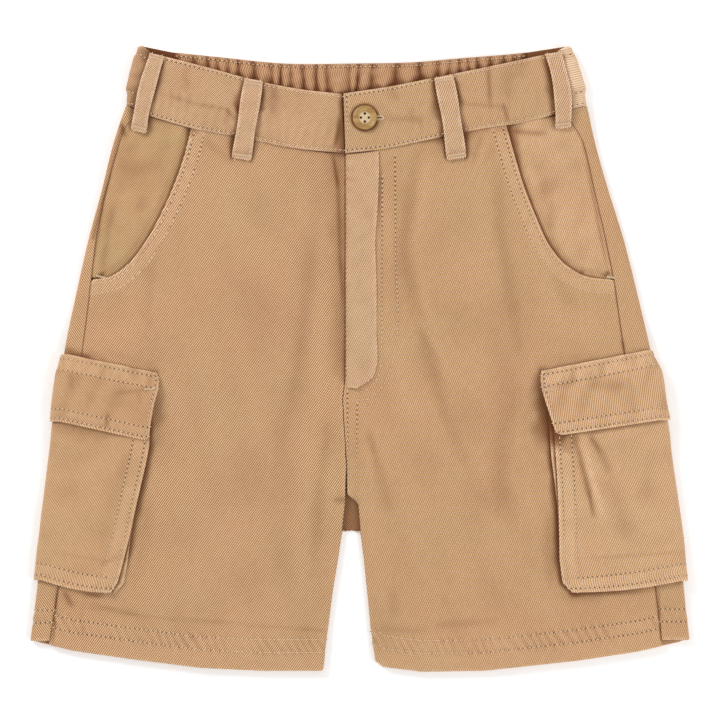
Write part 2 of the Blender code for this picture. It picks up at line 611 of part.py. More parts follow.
def front_band(side):
    x, y, _ = band_plan(side, BAND_COLUMNS, BAND_ROWS)
    sunk = wedge_dip(x, y) if side == LEFT else np.zeros_like(x)
    points = np.stack([x, y, BAND_HEIGHT - WEDGE_DIP * sunk], axis=2)
    inner = points - np.stack([0 * x, 0 * x, BAND_CLOTH - WEDGE_THIN * sunk], axis=2)
    add_sheet("waistband_" + SIDE_NAME[side], points, inner, MATERIALS["band"])


BACK_BAND_ROWS = (0.0, 0.12, 0.2, 0.7, 0.8, 1.0)
BACK_BAND_ARC = (90, 60, 30, 0, -30, -60, -90)
GATHER_SHARE = (0.7, 0.8, 1.0, 1.0, 0.8, 0.7)   # how strong the gathers are, row by row
GATHER_MARGIN_THIN = 0.4 # the band's margins are thinner by this where the gathers fade


def gather_columns():
    """Places across the band: the foot, the two flanks and the crest of each gather."""
    places = []
    for here, after in zip(GATHERS, GATHERS[1:]):
        gap = after.x - here.x
        places += [(here.x, 0.0, here.depth), (here.x + 0.28 * gap, 0.75, here.depth),
                   (here.x + 0.5 * gap, 1.0, (here.depth + after.depth) / 2),
                   (here.x + 0.72 * gap, 0.75, after.depth)]
    return places + [(GATHERS[-1].x, 0.0, GATHERS[-1].depth)]


def back_band():
    gathers = gather_columns()
    rows, waves = [], []
    for share, strength in zip(BACK_BAND_ROWS, GATHER_SHARE):
        row, wave = [], []
        for side in (LEFT, RIGHT):
            end = BAND_END[side]
            fold_y = mix(BAND_FOLDS[0].y, BAND_FOLDS[-1].y, share)
            end_x, end_y = mix(end.top_x, end.low_x, share), mix(end.top_y, end.low_y, share)
            start_x = straight(BAND_FOLDS, fold_y, side) - side * BAND_FOLD
            flat = [(mix(end_x, start_x, t), mix(end_y, fold_y, t), BAND_HEIGHT) for t in (0, 0.5)]
            arc = []
            for angle in BACK_BAND_ARC:
                turn = math.radians(angle)
                arc.append((start_x + side * BAND_FOLD * math.cos(turn), fold_y,
                            BAND_HEIGHT / 2 * (1 + math.sin(turn))))
            stretch = flat + arc
            if side == LEFT:
                row += stretch
                wave += [BAND_SIDE_WALL] * len(stretch)
                for x, crest, depth in gathers:
                    y = mix(back_top_y(x), back_waist_y(x), share)
                    row.append((x, y, 0.0))
                    full = BAND_INNER_WALL + GATHER_CREST - depth * (1 - crest) * strength
                    wave.append(full - GATHER_MARGIN_THIN * (1 - strength))
            else:
                row += stretch[::-1]
                wave += [BAND_SIDE_WALL] * len(stretch)
        rows.append(row)
        waves.append(wave)
    points = np.array(rows, float)
    add_wall("waistband_back", points, np.array(waves), MATERIALS["inner"])


# --- fly ----------
FLY_STEPS = (0.0, 0.1, 0.4, 0.7, 0.93, 1.0)
FLY_SUNK_EDGE = 0.5      # the ridge's outer margin eases down by this


def fly_strip():
    points = np.zeros((len(FLY), len(FLY_STEPS), 3))
    for r, row in enumerate(FLY):
        for c, step in enumerate(FLY_STEPS):
            x = mix(FLY_LEFT, row.right_x, step)
            y = mix(row.left_y, row.right_y, step)
            points[r, c] = (x, y, front_top(RIGHT, x, y) + SEAM_GAP + CLOTH)
            if step in (0.0, 1.0):
                points[r, c, 2] -= FLY_SUNK_EDGE
    inner = points.copy()
    inner[..., 2] = front_top(RIGHT, points[..., 0], points[..., 1]) + SEAM_GAP
    add_sheet("fly", points, inner, MATERIALS["fly"])


# --- cargo pockets ----------
POCKET_TOP_STEPS = (0.0, 0.04, 0.14, 0.26, 0.38, 0.50, 0.62, 0.74, 0.87, 1.0)
POCKET_ARC = (60, 30, 0, -30, -60, -90)
POCKET_UNDER_STEPS = (0.35, 0.7, 1.0)


def pocket_point(side, row, place, above, under, sag=0.0):
    """A point on a pocket row, above the leg on the front and under it on the back.

    place runs 0 to 1 over the front, 1 to 2 round the fold and 2 to 3 over the back.
    """
    start_x = fold_start(side, row.fold_y)
    if place <= 1:
        x = mix(row.edge_x, start_x, place)
        y = mix(row.edge_y, row.fold_y, place) - sag * math.sin(math.pi * max(place, 0.0))
        return (x, y, front_top(side, x, y) + above)
    if place <= 2:
        offset = mix(above, under, ease(1.5, 2.0, place))
        return around_fold(side, row.fold_y, 90 - 180 * (place - 1), offset)
    inward = (place - 2) * (POCKET_BACK - LEG_FOLD)
    x = start_x - side * inward
    y = row.fold_y - POCKET_SLOPE * inward
    return (x, y, lift(side, x, y) - under)


def pocket_sheet(name, side, table, rises, under, sags):
    """A pocket piece that lies on the leg and goes round its fold."""
    turns = [1 + (90 - angle) / 180 for angle in POCKET_ARC]
    places = [*POCKET_TOP_STEPS, *turns, *(2 + step for step in POCKET_UNDER_STEPS)]
    faces = []
    for wall in (0.0, CLOTH):
        faces.append(np.array([[pocket_point(side, row, place, rise - wall, under - wall, sag)
                                for place in places]
                               for row, rise, sag in zip(table, rises, sags)], float))
    add_sheet(name, *faces, MATERIALS["pocket"])


def row_between(table, share):
    """The pocket row at a share of the way down a table."""
    at = share * (len(table) - 1)
    low = min(int(at), len(table) - 2)
    return PocketRow(*(mix(a, b, at - low) for a, b in zip(table[low], table[low + 1])))


GUSSET_TOP = 0.14        # the strip starts beneath the flap
GUSSET_DOWNS = 12
GUSSET_OVERS = 10


def cargo_gusset(side):
    """A folded strip beneath the bag's front and lower edges, mitred at the corner."""
    table = BAGS[side]
    middle = row_between(table, 0.5)
    front_width = abs(fold_start(side, middle.fold_y) - middle.edge_x)
    height = abs(table[-1].edge_y - table[0].edge_y)
    lines = []
    for inset in (0.0, 0.5, 1.0):
        place_in = inset * GUSSET_WIDTH / front_width
        share_in = 1 - inset * GUSSET_WIDTH / height
        line = []
        for down in np.linspace(0, 1, GUSSET_DOWNS):
            share = mix(GUSSET_TOP, share_in, down)
            bulge = np.interp(share, np.linspace(0, 1, len(table)), GUSSET_BULGE[side])
            line.append((row_between(table, share), place_in - (1 - inset) * bulge / front_width))
        for over in np.linspace(0, 1, GUSSET_OVERS)[1:]:
            line.append((row_between(table, share_in), mix(place_in, 1.0, over)))
        lines.append(line)
    faces = []
    for rise in (SEAM_GAP + FACING_CLOTH, SEAM_GAP):
        faces.append(np.array([[pocket_point(side, row, place, rise, rise) for row, place in line]
                               for line in lines], float))
    add_sheet("cargo_gusset_" + SIDE_NAME[side], *faces, MATERIALS["pocket"])


def cargo_pocket(side):
    name = SIDE_NAME[side]
    bag, flap = BAGS[side], FLAPS[side]
    cargo_gusset(side)
    sags = [0.0] * (len(bag) - 1) + [BAG_SAG]
    pocket_sheet("cargo_bag_" + name, side, bag, [BAG_OFFSET] * len(bag), BAG_UNDER, sags)
    pocket_sheet("cargo_flap_" + name, side, flap, FLAP_RISE, FLAP_UNDER, [0.0] * len(flap))


# --- belt loops and button ----------
def belt_loop(loop):
    axis = np.array([loop.low_x - loop.top_x, loop.low_y - loop.top_y])
    axis /= np.hypot(*axis)
    beside = np.array([-axis[1], axis[0]])
    points = np.zeros((LOOP_STATIONS, 3, 3))
    for r, t in enumerate(np.linspace(0, 1, LOOP_STATIONS)):
        centre = np.array([mix(loop.top_x, loop.low_x, t) + loop.bow * math.sin(math.pi * t),
                           mix(loop.top_y, loop.low_y, t)])
        side = LEFT if centre[0] < 0 else RIGHT
        foot = front_top(side, centre[0], centre[1])
        base = mix(BAND_HEIGHT, min(foot, BAND_HEIGHT), ease(*LOOP_STEP_DOWN, t))
        stand = LOOP_ARCH * math.sin(math.pi * t) ** LOOP_ARCH_POWER
        for c, across in enumerate((-0.5, 0.0, 0.5)):
            x, y = centre + beside * across * loop.width
            points[r, c] = (x, y, base + SEAM_GAP + stand + LOOP_CLOTH)
    inner = points - [0.0, 0.0, LOOP_CLOTH]
    add_sheet(loop.name, points, inner, MATERIALS["band"])


Turn = namedtuple("Turn", "radius height")
BUTTON_PROFILE = [       # shares of the button's radius and thickness, from the dish outwards and down
    Turn(0.42, 0.62), Turn(0.78, 0.70), Turn(0.86, 0.97), Turn(0.95, 1.0), Turn(1.0, 0.80),
    Turn(1.0, 0.45), Turn(0.90, 0.12), Turn(0.70, 0.0)]
BUTTON_SEGMENTS = 28
BUTTON_HOLES = 4


def button_body():
    """The turned blank of the button, as a mesh."""
    base = BAND_HEIGHT + SEAM_GAP
    shape = bmesh.new()
    rings = []
    for turn in BUTTON_PROFILE:
        ring = []
        for i in range(BUTTON_SEGMENTS):
            angle = 2 * math.pi * i / BUTTON_SEGMENTS
            x = BUTTON_X + BUTTON_RADIUS * turn.radius * math.cos(angle)
            y = BUTTON_Y + BUTTON_RADIUS * turn.radius * math.sin(angle)
            z = base + BUTTON_THICK * turn.height
            ring.append(shape.verts.new((METRES * x, METRES * y, METRES * z)))
        rings.append(ring)
    for upper, lower in zip(rings, rings[1:]):
        for i in range(BUTTON_SEGMENTS):
            j = (i + 1) % BUTTON_SEGMENTS
            shape.faces.new((upper[i], lower[i], lower[j], upper[j]))
    shape.faces.new(rings[0])
    shape.faces.new(list(reversed(rings[-1])))
    mesh = bpy.data.meshes.new("button")
    shape.to_mesh(mesh)
    shape.free()
    return mesh


def add_button(material):
    """A turned four-hole button with a raised rim, lying on the band."""
    button = finish_object("button", button_body(), material)
    middle_z = BAND_HEIGHT + SEAM_GAP + BUTTON_THICK / 2
    for i in range(BUTTON_HOLES):
        angle = 2 * math.pi * i / BUTTON_HOLES
        x = BUTTON_X + BUTTON_HOLE_RING * math.cos(angle)
        y = BUTTON_Y + BUTTON_HOLE_RING * math.sin(angle)
        bpy.ops.mesh.primitive_cylinder_add(
            vertices=12, radius=METRES * BUTTON_HOLE, depth=METRES * 4 * BUTTON_THICK,
            location=(METRES * x, METRES * y, METRES * middle_z))
        drill = bpy.context.object
        drill.name = f"button_drill_{i}"
        drill.hide_render = True
        drill.display_type = "WIRE"
        cut = button.modifiers.new(f"hole_{i}", "BOOLEAN")
        cut.operation = "DIFFERENCE"
        cut.object = drill


def clear_scene():
    for thing in list(bpy.data.objects):
        bpy.data.objects.remove(thing, do_unlink=True)


clear_scene()
MATERIALS = {
    "drill": fabric("tan drill", DRILL), "pocket": fabric("tan drill pocket", DRILL_POCKET),
    "facing": fabric("tan drill facing", DRILL_FACING), "band": fabric("tan drill band", DRILL_BAND),
    "fly": fabric("tan drill fly", DRILL_FLY), "inner": fabric("tan drill gathered", DRILL_INNER)}

for half in (LEFT, RIGHT):
    front_panel(half)
    back_panel(half)
    hip_facing(half)
    front_band(half)
    cargo_pocket(half)
back_band()
fly_strip()
for strip in LOOPS:
    belt_loop(strip)
horn = fabric("horn", HORN)
horn.node_tree.nodes["Principled BSDF"].inputs["Roughness"].default_value = 0.45
add_button(horn)
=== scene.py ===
"""Looks for a child's cargo shorts, laid flat: sewn cloth shells, topstitching, button and studio.

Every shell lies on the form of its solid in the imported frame.  Sizes and places are in
millimetres in the frame's own axes, and make_mesh turns them into metres.
"""
from collections import namedtuple
import math

import bpy
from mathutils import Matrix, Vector
from mathutils.bvhtree import BVHTree
import numpy as np


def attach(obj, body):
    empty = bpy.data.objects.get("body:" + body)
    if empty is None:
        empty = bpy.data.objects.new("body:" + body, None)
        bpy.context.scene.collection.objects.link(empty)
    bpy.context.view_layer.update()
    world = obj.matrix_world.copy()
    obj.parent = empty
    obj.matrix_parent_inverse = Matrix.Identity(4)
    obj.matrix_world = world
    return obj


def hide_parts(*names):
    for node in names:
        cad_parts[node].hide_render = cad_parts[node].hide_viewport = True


METRES = 0.001

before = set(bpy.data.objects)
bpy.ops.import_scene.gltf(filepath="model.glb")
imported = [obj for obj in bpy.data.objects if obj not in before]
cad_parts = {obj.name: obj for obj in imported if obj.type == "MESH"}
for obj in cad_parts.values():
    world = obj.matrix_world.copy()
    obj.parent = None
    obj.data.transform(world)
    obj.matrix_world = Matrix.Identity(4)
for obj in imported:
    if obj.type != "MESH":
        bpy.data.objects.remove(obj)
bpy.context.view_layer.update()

# --- driving sizes ----------
CLOTH = 1.2              # wall of a single turned layer of drill
FACING_CLOTH = 1.0       # pocket facing and gusset
BAND_CLOTH = 2.2         # doubled waistband
LOOP_CLOTH = 1.8         # belt loop, folded in three
SEAM_GAP = 0.3           # between pieces at a seam, and between stacked pieces
BODY_HEIGHT = 4.3        # top of the front above the underside of the back
WAIST_EXTRA = 1.1        # the fronts rise to meet the band
WAIST_FADE = 18.0        # how far below the band that rise fades
HEM_HEIGHT = 19.0        # turned-up hem
HEM_EXTRA = 0.6          # the hem stands proud by this
HEM_INNER = 1.0          # extra cloth inside the hem
BAND_HEIGHT = 6.2        # top of the waistband above the surface
BAND_FOLD = 3.0          # half width of the band's fold at the sides
LEG_FOLD = 2.2           # half width of the leg's outer fold
INSEAM_ROLL = 2.2        # how far in the inseam edge starts to turn down
CROTCH_TOP = -80.0       # the legs part from here
LEGS_PARTED = -92.0      # and their inseam edges are fully turned from here
CROTCH_BOTTOM = -103.2   # the back's crotch edge between the legs
BACK_CENTRE = -4.8       # centre-back seam
WEDGE_DIP = 1.0          # the lower half of the band drops under the upper half
WEDGE_TOP = -11.2        # the dip starts here at the band's top edge
WEDGE_FOOT = -15.8       # and here at its lower edge
WEDGE_THIN = 0.8         # the dip's wall is thinner by this
GUSSET_WIDTH = 11.0
BAG_OFFSET = 2.8         # outer face of the pocket bag above the leg, room for the gusset
BAG_UNDER = 1.5          # and on the back half, pressed flat beneath the leg
FLAP_UNDER = 3.0         # outer face of the flap beneath the leg
POCKET_BACK = 38.0       # how far the pocket reaches round to the back
POCKET_SLOPE = 0.05      # the pocket's rows drop by this on the back
LIFT_FADE = 24.0         # the back bends up over the pocket's back half in this length
LIFT_STEP = 24.0         # and from the bag's level to the flap's in this length
LIFT_MARGIN = 1.5
BUTTON_X = 2.9
BUTTON_Y = 144.7
BUTTON_RADIUS = 7.3
BUTTON_THICK = 2.6
BUTTON_HOLE = 0.8        # radius
BUTTON_HOLE_RING = 2.4   # holes' distance from the middle

LEFT, RIGHT = -1, 1
SIDE_NAME = {LEFT: "left", RIGHT: "right"}


def of(name, side):
    """The name of a piece's left or right one."""
    return f"{name}_{SIDE_NAME[side]}"


def rows_of(kind, rows):
    """A table: each of its rows read as this kind of row."""
    return [kind(*row) for row in rows]


# --- the outline, a row for each height ----------
Edges = namedtuple("Edges", "y left right")
Point = namedtuple("Point", "x y")

LEG_FOLDS = rows_of(Edges, [  # outer fold of the leg
    (153, -140.4, 136.2), (131.4, -147.6, 140.8), (102.6, -154.8, 148.8), (73.8, -162.6, 157.8),
    (45, -169.2, 165.2), (6.6, -177, 174), (-31.8, -181.2, 181.2), (-70.2, -185.7, 186.3),
    (-108.6, -190.5, 191.8), (-137.4, -193.8, 194.4), (-169.2, -198, 198)])

SIDE_SEAMS = rows_of(Edges, [  # where front meets back, on the front face
    (147.6, -131.4, 122.2), (139.8, -140.4, 128.4), (131.4, -144, 133.4), (119.7, -147.6, 136.8),
    (102, -152.2, 140.6), (79.8, -157.2, 145.8), (47.4, -161.4, 152.4), (11.4, -165.9, 157.6),
    (-60, -173.6, 167.4), (-138.6, -181.4, 177.6), (-171, -186.6, 181.4)])

INNER_EDGES = rows_of(Edges, [  # centre front down to the crotch, then the inseam
    (123, -9.2, -8.8), (-12, -9.2, -8.8), (-24, -10.6, -10.2), (-37, -10, -9.6),
    (-48.6, -9.1, -8.7), (-64, -8.2, -7.8), (-81, -8.6, -7.8), (-87, -8.8, -1.3),
    (-103.2, -10.6, 0.1), (-120.6, -13.2, 2.3), (-138.6, -16.2, 4.2), (-166.2, -19.8, 6.8),
    (-187.8, -22.2, 10.4)])

HEM = rows_of(Point, [  # left leg, then right leg
    (-198, -169.2), (-186.6, -171.6), (-172.2, -175.2), (-134.4, -180.6), (-96, -185.4),
    (-60, -187.2), (-22.2, -187.2), (10.4, -182), (14, -184.8), (37.2, -187.8), (75, -187.2),
    (130.2, -181.2), (166.2, -175.8), (198, -168.6)])

SCOOPS = {               # mouth of the hip pocket, from the band to the side seam
    LEFT: rows_of(Point, [
        (-101.4, 138.2), (-105, 123.6), (-116.4, 93.6), (-127.2, 72.9), (-138, 58.2),
        (-149.4, 49.8), (-161.4, 47.4)]),
    RIGHT: rows_of(Point, [
        (87.9, 139.8), (92.4, 123.6), (97.8, 105.6), (105, 87), (114, 67.8), (123, 57),
        (133.8, 50.4), (152.4, 47.4)])}

# --- the waistband, a row for each section ----------
Section = namedtuple("Section", "top_x top_y low_x low_y")

FRONT_BAND = {
    LEFT: rows_of(Section, [
        (-125, 183.4, -131.2, 147.3), (-92.4, 175.2, -102, 138.6), (-63.6, 167.4, -70.8, 132.6),
        (-36.6, 162, -40.8, 126.6), (-10.5, 159, -9.2, 123.4)]),
    RIGHT: rows_of(Section, [
        (-9.9, 159.3, -8.8, 123.4), (18, 163.5, 15, 126), (43.8, 168.6, 42, 131.7),
        (72, 174.3, 71.4, 137.7), (96, 179.4, 98.4, 141.9), (117.6, 184, 121.7, 147.9)])}

BAND_FOLDS = rows_of(Edges, [  # outer edge of the back band: margin, elastic channel, margin
    (187.8, -133.2, 126.8), (184, -134.2, 128), (181.2, -136, 129.8), (162, -140.7, 135.9),
    (159.6, -139.8, 134.9), (151.5, -140.3, 136.2)])

Across = namedtuple("Across", "x top")

BACK_BAND = rows_of(Across, [  # upper edge of the back band
    (-137.3, 186.8), (-83.4, 181.2), (-46.8, 177.6), (0, 177.6), (30.6, 178.2), (63, 180.9),
    (95.4, 183.6), (126.8, 187.8)])
BACK_WAIST_SIDE = 151.5  # lower edge of the back band at the sides
BACK_WAIST_CENTRE = 142.0
BACK_WAIST_REACH = 135.0

BAND_END = {             # where the back band meets the front band, under the side loops
    LEFT: Section(-125.4, 183.9, -131.6, 147.8), RIGHT: Section(118.0, 184.6, 122.1, 148.4)}

Gather = namedtuple("Gather", "x depth")

GATHERS = rows_of(Gather, [  # folds pulled in by the elastic, left to right
    (-112.8, 0.7), (-99, 1.2), (-91.2, 1.7), (-85.2, 1.3), (-79.8, 1.2), (-73.2, 1.7),
    (-63.6, 1.8), (-53.1, 1.4), (-47.4, 1.8), (-42, 1.2), (-34.2, 1.6), (-25.8, 1.7),
    (-19.8, 1.3), (-6, 1.1), (-1.8, 1.9), (6.6, 1.4), (21.6, 1.7), (36.6, 1.9), (46.2, 1.4),
    (52.8, 1.1), (60.6, 1.7), (65.4, 1.3), (71.4, 1.7), (78.6, 1.4), (86.4, 1.6), (93, 1.2),
    (100.8, 1)])
GATHER_CREST = 2.0       # a crest stands this far above the plain band
BAND_INNER_WALL = 1.5    # wall of the back band at the foot of a gather
BAND_SIDE_WALL = 2.0

# --- the fly, the pockets and the loops ----------
FlyRow = namedtuple("FlyRow", "left_y right_x right_y")

FLY = rows_of(FlyRow, [
    (122.4, 11.2, 124.6), (108, 11.4, 110), (88, 10.4, 88), (70, 9.2, 70), (46, 9.9, 46),
    (20, 10, 20), (2, 10.5, 1), (-5, 9.9, -4.4), (-11, 7.4, -11), (-15, 3.4, -14.6),
    (-17.2, -1.6, -17.4)])
FLY_LEFT = -8.3

PocketRow = namedtuple("PocketRow", "edge_x edge_y fold_y")

FLAPS = {
    LEFT: rows_of(PocketRow, [
        (-121.8, -8.1, 3), (-120.3, -12.6, -1.4), (-121, -19, -8), (-123.3, -27, -15),
        (-125.4, -39, -27.6), (-126.3, -46.5, -35), (-126.6, -49.2, -37.5)]),
    RIGHT: rows_of(PocketRow, [
        (108.9, -6.9, 5.4), (108.2, -12, 0.4), (109, -18.6, -6.4), (111, -25.2, -14),
        (114.6, -36, -26), (117, -43.4, -34.2), (118.6, -46, -36.6)])}
FLAP_RISE = [1.7, 2.7, 4.1, 4.4, 4.4, 4.4, 4.4]   # outer face above the leg, row by row

BAGS = {
    LEFT: rows_of(PocketRow, [
        (-125.4, -23.4, -11.4), (-126.3, -52.2, -39), (-127.9, -60.8, -48), (-130, -70, -58),
        (-134.2, -88, -76), (-138, -106.2, -95), (-142, -122, -113), (-145.2, -133.8, -125.6),
        (-149.4, -140.4, -132.6)]),
    RIGHT: rows_of(PocketRow, [
        (115.2, -24.6, -12.6), (116.8, -48.6, -37.2), (117.5, -60, -49.4), (118.2, -71.4, -61.8),
        (119, -88, -79), (119.4, -104, -96), (119.7, -120.6, -113.4), (121.4, -134, -127.6),
        (127.2, -140.1, -133.2)])}
BAG_SAG = 1.8            # the bag's lower edge bows down by this

GUSSET_BULGE = {         # how far the gusset shows past the bag, down its front edge
    LEFT: [0.0, 0.0, 0.0, 0.0, 0.0, 0.6, 2.6, 4.0, 2.6],
    RIGHT: [2.6, 3.0, 2.6, 1.8, 0.6, 0.0, 0.0, 0.0, 0.0]}

Loop = namedtuple("Loop", "name top_x top_y low_x low_y width bow")

LOOPS = rows_of(Loop, [
    ("loop_side_left", -121.5, 182.6, -132.9, 136, 9.6, -1.2),
    ("loop_front_left", -63.6, 167.6, -71.2, 119.6, 11.6, 0),
    ("loop_front_right", 50.1, 169.4, 58, 119.8, 11.6, 0.6),
    ("loop_side_right", 115.8, 183.6, 121.8, 138, 10, 2.4)])
LOOP_ARCH = 0.9          # a loop stands off the band by this at mid length
LOOP_ARCH_POWER = 0.7
LOOP_STEP_DOWN = (0.86, 0.96)   # shares of its length where it drops from the band to the leg

Fold = namedtuple("Fold", "x0 y0 x1 y1 reach depth")

BODY_FOLDS = rows_of(Fold, [  # soft troughs (depth over 0) and ridges (under 0) of the laid fronts
    (-12.6, 118, -13.2, 76, 6, 1.1), (-13.2, 76, -12.8, -8, 5, 1.1),
    (-26, -130, -31, -168, 6, 0.5), (-40, -20, -48, -150, 9, 0.4), (25, 95, 26, 20, 7, 0.5),
    (86, 30, 88, -90, 9, 0.5), (20, -120, 18, -165, 6, 0.4), (6.5, -60, 8, -120, 4, -0.5)])
CROTCH_DIP = 1.3         # the front rise sinks between the legs


# --- small mathematics ----------
def curve(keys, values, at):
    """A smooth cubic through a table's rows, level with its ends outside them."""
    order = np.argsort(keys)
    keys = np.asarray(keys, float)[order]
    values = np.asarray(values, float)[order]
    slopes = np.gradient(values, keys)
    at = np.clip(at, keys[0], keys[-1])
    row = np.clip(np.searchsorted(keys, at) - 1, 0, len(keys) - 2)
    span = keys[row + 1] - keys[row]
    t = (at - keys[row]) / span
    start = (1 + 2 * t) * (1 - t) ** 2 * values[row] + t * (1 - t) ** 2 * span * slopes[row]
    end = t * t * (3 - 2 * t) * values[row + 1] + t * t * (t - 1) * span * slopes[row + 1]
    return start + end


def straight(table, at, side):
    """A table of Edges read at the height at, with straight lines between its rows."""
    y, left, right = np.transpose(sorted(table))
    return np.interp(at, y, right if side == RIGHT else left)


def edge(table, at, side):
    """The same, with a smooth curve through the rows."""
    y, left, right = np.transpose(table)
    return curve(y, right if side == RIGHT else left, at)


def ease(low, high, at):
    """0 below low, 1 above high, smooth between."""
    t = np.clip((at - low) / (high - low), 0.0, 1.0)
    return t * t * (3 - 2 * t)


def mix(a, b, t):
    return a + (b - a) * t


def bell(distance, width):
    """1 at no distance, and near 0 from about twice the width."""
    return np.exp(-(distance / width) ** 2)


def run_lengths(points):
    """Distance of each of a line's points from its start, along the line."""
    steps = np.linalg.norm(np.diff(points, axis=0), axis=1)
    return np.concatenate([[0.0], np.cumsum(steps)])


def from_segment(x, y, start, end):
    """Points' distance from a straight line between two places, and how far along it that is."""
    (ax, ay), (bx, by) = start, end
    run_x, run_y = bx - ax, by - ay
    t = ((x - ax) * run_x + (y - ay) * run_y) / max(run_x ** 2 + run_y ** 2, 1e-12)
    t = np.clip(t, 0, 1)
    return np.hypot(x - ax - t * run_x, y - ay - t * run_y), t


def hem_y(x):
    return np.interp(x, *np.transpose(HEM))


def waist_y(x):
    """Height of the front waist seam."""
    _, _, low_x, low_y = np.transpose(FRONT_BAND[LEFT] + FRONT_BAND[RIGHT][1:])
    return curve(low_x, low_y, x)


def back_waist_y(x):
    away = np.minimum(np.abs(x - BACK_CENTRE) / BACK_WAIST_REACH, 1.0)
    return mix(BACK_WAIST_CENTRE, BACK_WAIST_SIDE, away)


def back_top_y(x):
    return curve(*np.transpose(BACK_BAND), x)


# --- the form of the laid garment ----------
def lift(side, x, y):
    """How far the back is raised by the pocket's back half beneath it."""
    inward = side * (edge(LEG_FOLDS, y, side) - x)
    across = 1 - ease(POCKET_BACK + LIFT_MARGIN, POCKET_BACK + LIFT_MARGIN + LIFT_FADE, inward)
    top = FLAPS[side][0].fold_y + LIFT_MARGIN
    flap_foot = FLAPS[side][-1].fold_y - POCKET_SLOPE * POCKET_BACK - LIFT_MARGIN
    foot = BAGS[side][-1].fold_y - POCKET_SLOPE * POCKET_BACK - LIFT_MARGIN
    below_top = 1 - ease(top, top + LIFT_FADE, y)
    bag = BAG_UNDER * below_top * ease(foot - LIFT_FADE, foot, y)
    flap = (FLAP_UNDER - BAG_UNDER) * below_top * ease(flap_foot - LIFT_STEP, flap_foot, y)
    return across * (bag + flap)


def body_folds(x, y):
    """Sum of the laid folds: troughs count down, ridges up."""
    total = np.zeros(np.broadcast(x, y).shape)
    for fold in BODY_FOLDS:
        away, _ = from_segment(x, y, fold[:2], fold[2:4])
        total = total - fold.depth * bell(away, fold.reach)
    return total


RISE_STRIP = (-9.0, -8.5, -4.5, 0.5)     # across: where the sunk front rise starts and ends
RISE_STRIP_TOP = -47.0


def body_height(x, y):
    """Top of the front above the underside of the back at a point."""
    below_band = np.maximum(waist_y(x) - y, 0.0)
    above_hem = y - hem_y(x)
    height = BODY_HEIGHT + WAIST_EXTRA * np.exp(-below_band / WAIST_FADE)
    height = height + HEM_EXTRA * (1 - ease(HEM_HEIGHT - 1, HEM_HEIGHT + 3, above_hem))
    calm = ease(HEM_HEIGHT - 6, HEM_HEIGHT + 8, above_hem)
    height = height + body_folds(x, y) * (0.25 + 0.75 * calm)
    across = ease(RISE_STRIP[0], RISE_STRIP[1], x) * (1 - ease(RISE_STRIP[2], RISE_STRIP[3], x))
    sunk = ease(RISE_STRIP_TOP, CROTCH_TOP, y) * across * (y > CROTCH_BOTTOM)
    return height - CROTCH_DIP * sunk


def fold_start(side, y):
    return edge(LEG_FOLDS, y, side) - side * LEG_FOLD


# --- creases and swell ----------
SMALL_FOLDS = rows_of(Fold, [  # finer creases of the legs, laid on top of the body's folds
    (-25.2, 101.4, -30, 59.4, 5, 0.5), (-30, 59.4, -34.8, 11.4, 5, 0.7),
    (-34.8, 11.4, -40.8, -24.6, 5.5, 0.6), (-40.8, -24.6, -49.2, -51.6, 6, 0.35),
    (-18.6, -39.6, -24.6, -78.6, 3.6, 0.6), (-24.6, -78.6, -27, -123.6, 4.5, 0.6),
    (-21.6, 35.4, -26.4, -30.6, 5, -0.35), (-26.4, -30.6, -34.8, -96.6, 6, -0.35),
    (-12.6, 131.4, -11.4, -15.6, 2.6, 0.4), (-126, 58.2, -127.2, 14.4, 3.4, 0.4),
    (-93, 131.4, -76.2, 117.6, 2.2, 0.55), (-78, -48.6, -48, -96.6, 14, 0.3),
    (-81, 107.4, -82.8, 71.4, 16, -0.35), (-72, 47.4, -54, -0.6, 16, 0.3),
    (34.8, 125.4, 30.6, 95.4, 4, 0.6), (30.6, 95.4, 25.8, 65.4, 4, 0.7),
    (25.8, 65.4, 32.4, 37.2, 4.5, 0.6), (32.4, 37.2, 43.2, -3.6, 4, 0.7),
    (43.2, -3.6, 52.2, -35.4, 4, 0.7), (52.2, -35.4, 64.8, -65.4, 5, 0.5),
    (64.8, -65.4, 75.6, -90.6, 6, 0.35), (82.2, 116.4, 84.6, 77.4, 4, 0.6),
    (84.6, 77.4, 90.6, 35.4, 4.5, 0.8), (90.6, 35.4, 96.6, 0.6, 5, 0.75),
    (92.4, -21.6, 84, -54.6, 6, 0.45), (84, -54.6, 84, -90.6, 6, 0.45),
    (72, 110.4, 74.4, 35.4, 6, -0.35), (40.8, 116.4, 36.6, 68.4, 4, -0.6),
    (33, 28.2, 54, -6.6, 1.8, -0.4), (54, -6.6, 70.8, -22.8, 1.8, -0.4),
    (44.4, 42.6, 46.8, 22.2, 3.5, 0.35), (24, 17.4, 27, -39.6, 8, -0.5),
    (5.4, -43.8, 10.8, -65.4, 2.4, 0.9), (10.8, -65.4, 16.8, -89.4, 4, 0.6),
    (88.8, -66.6, 105.6, -97.8, 4, -0.4), (73.2, 134.4, 67.8, 117.6, 1.6, 0.6),
    (83.4, 135, 76.2, 118.2, 1.6, 0.45), (79.2, 137.4, 72.6, 119.4, 1.8, -0.4),
    (108, 58.2, 117.6, 24.6, 5, -0.3), (117.6, 41.4, 132, 28.2, 4, 0.3),
    (19.8, -138.6, 21, -155.4, 3.5, 0.5), (-181.8, -138.6, -184.2, -168.6, 1.2, 0.6),
    (-177.6, -139.8, -172.8, -148.2, 2.2, 0.8), (-172.8, -148.2, -133.8, -153.6, 1.8, 0.4),
    (-166.8, -151.8, -166.2, -171.6, 1.3, 0.5), (-150, 4.2, -120, -7.8, 3, 0.4),
    (-163.2, 4.2, -152.4, -1.8, 2.4, 0.7), (111, -1.8, 144, 2.4, 2.4, 0.3),
    (13.8, 139.8, 16.2, 142.2, 1.8, 0.8)])
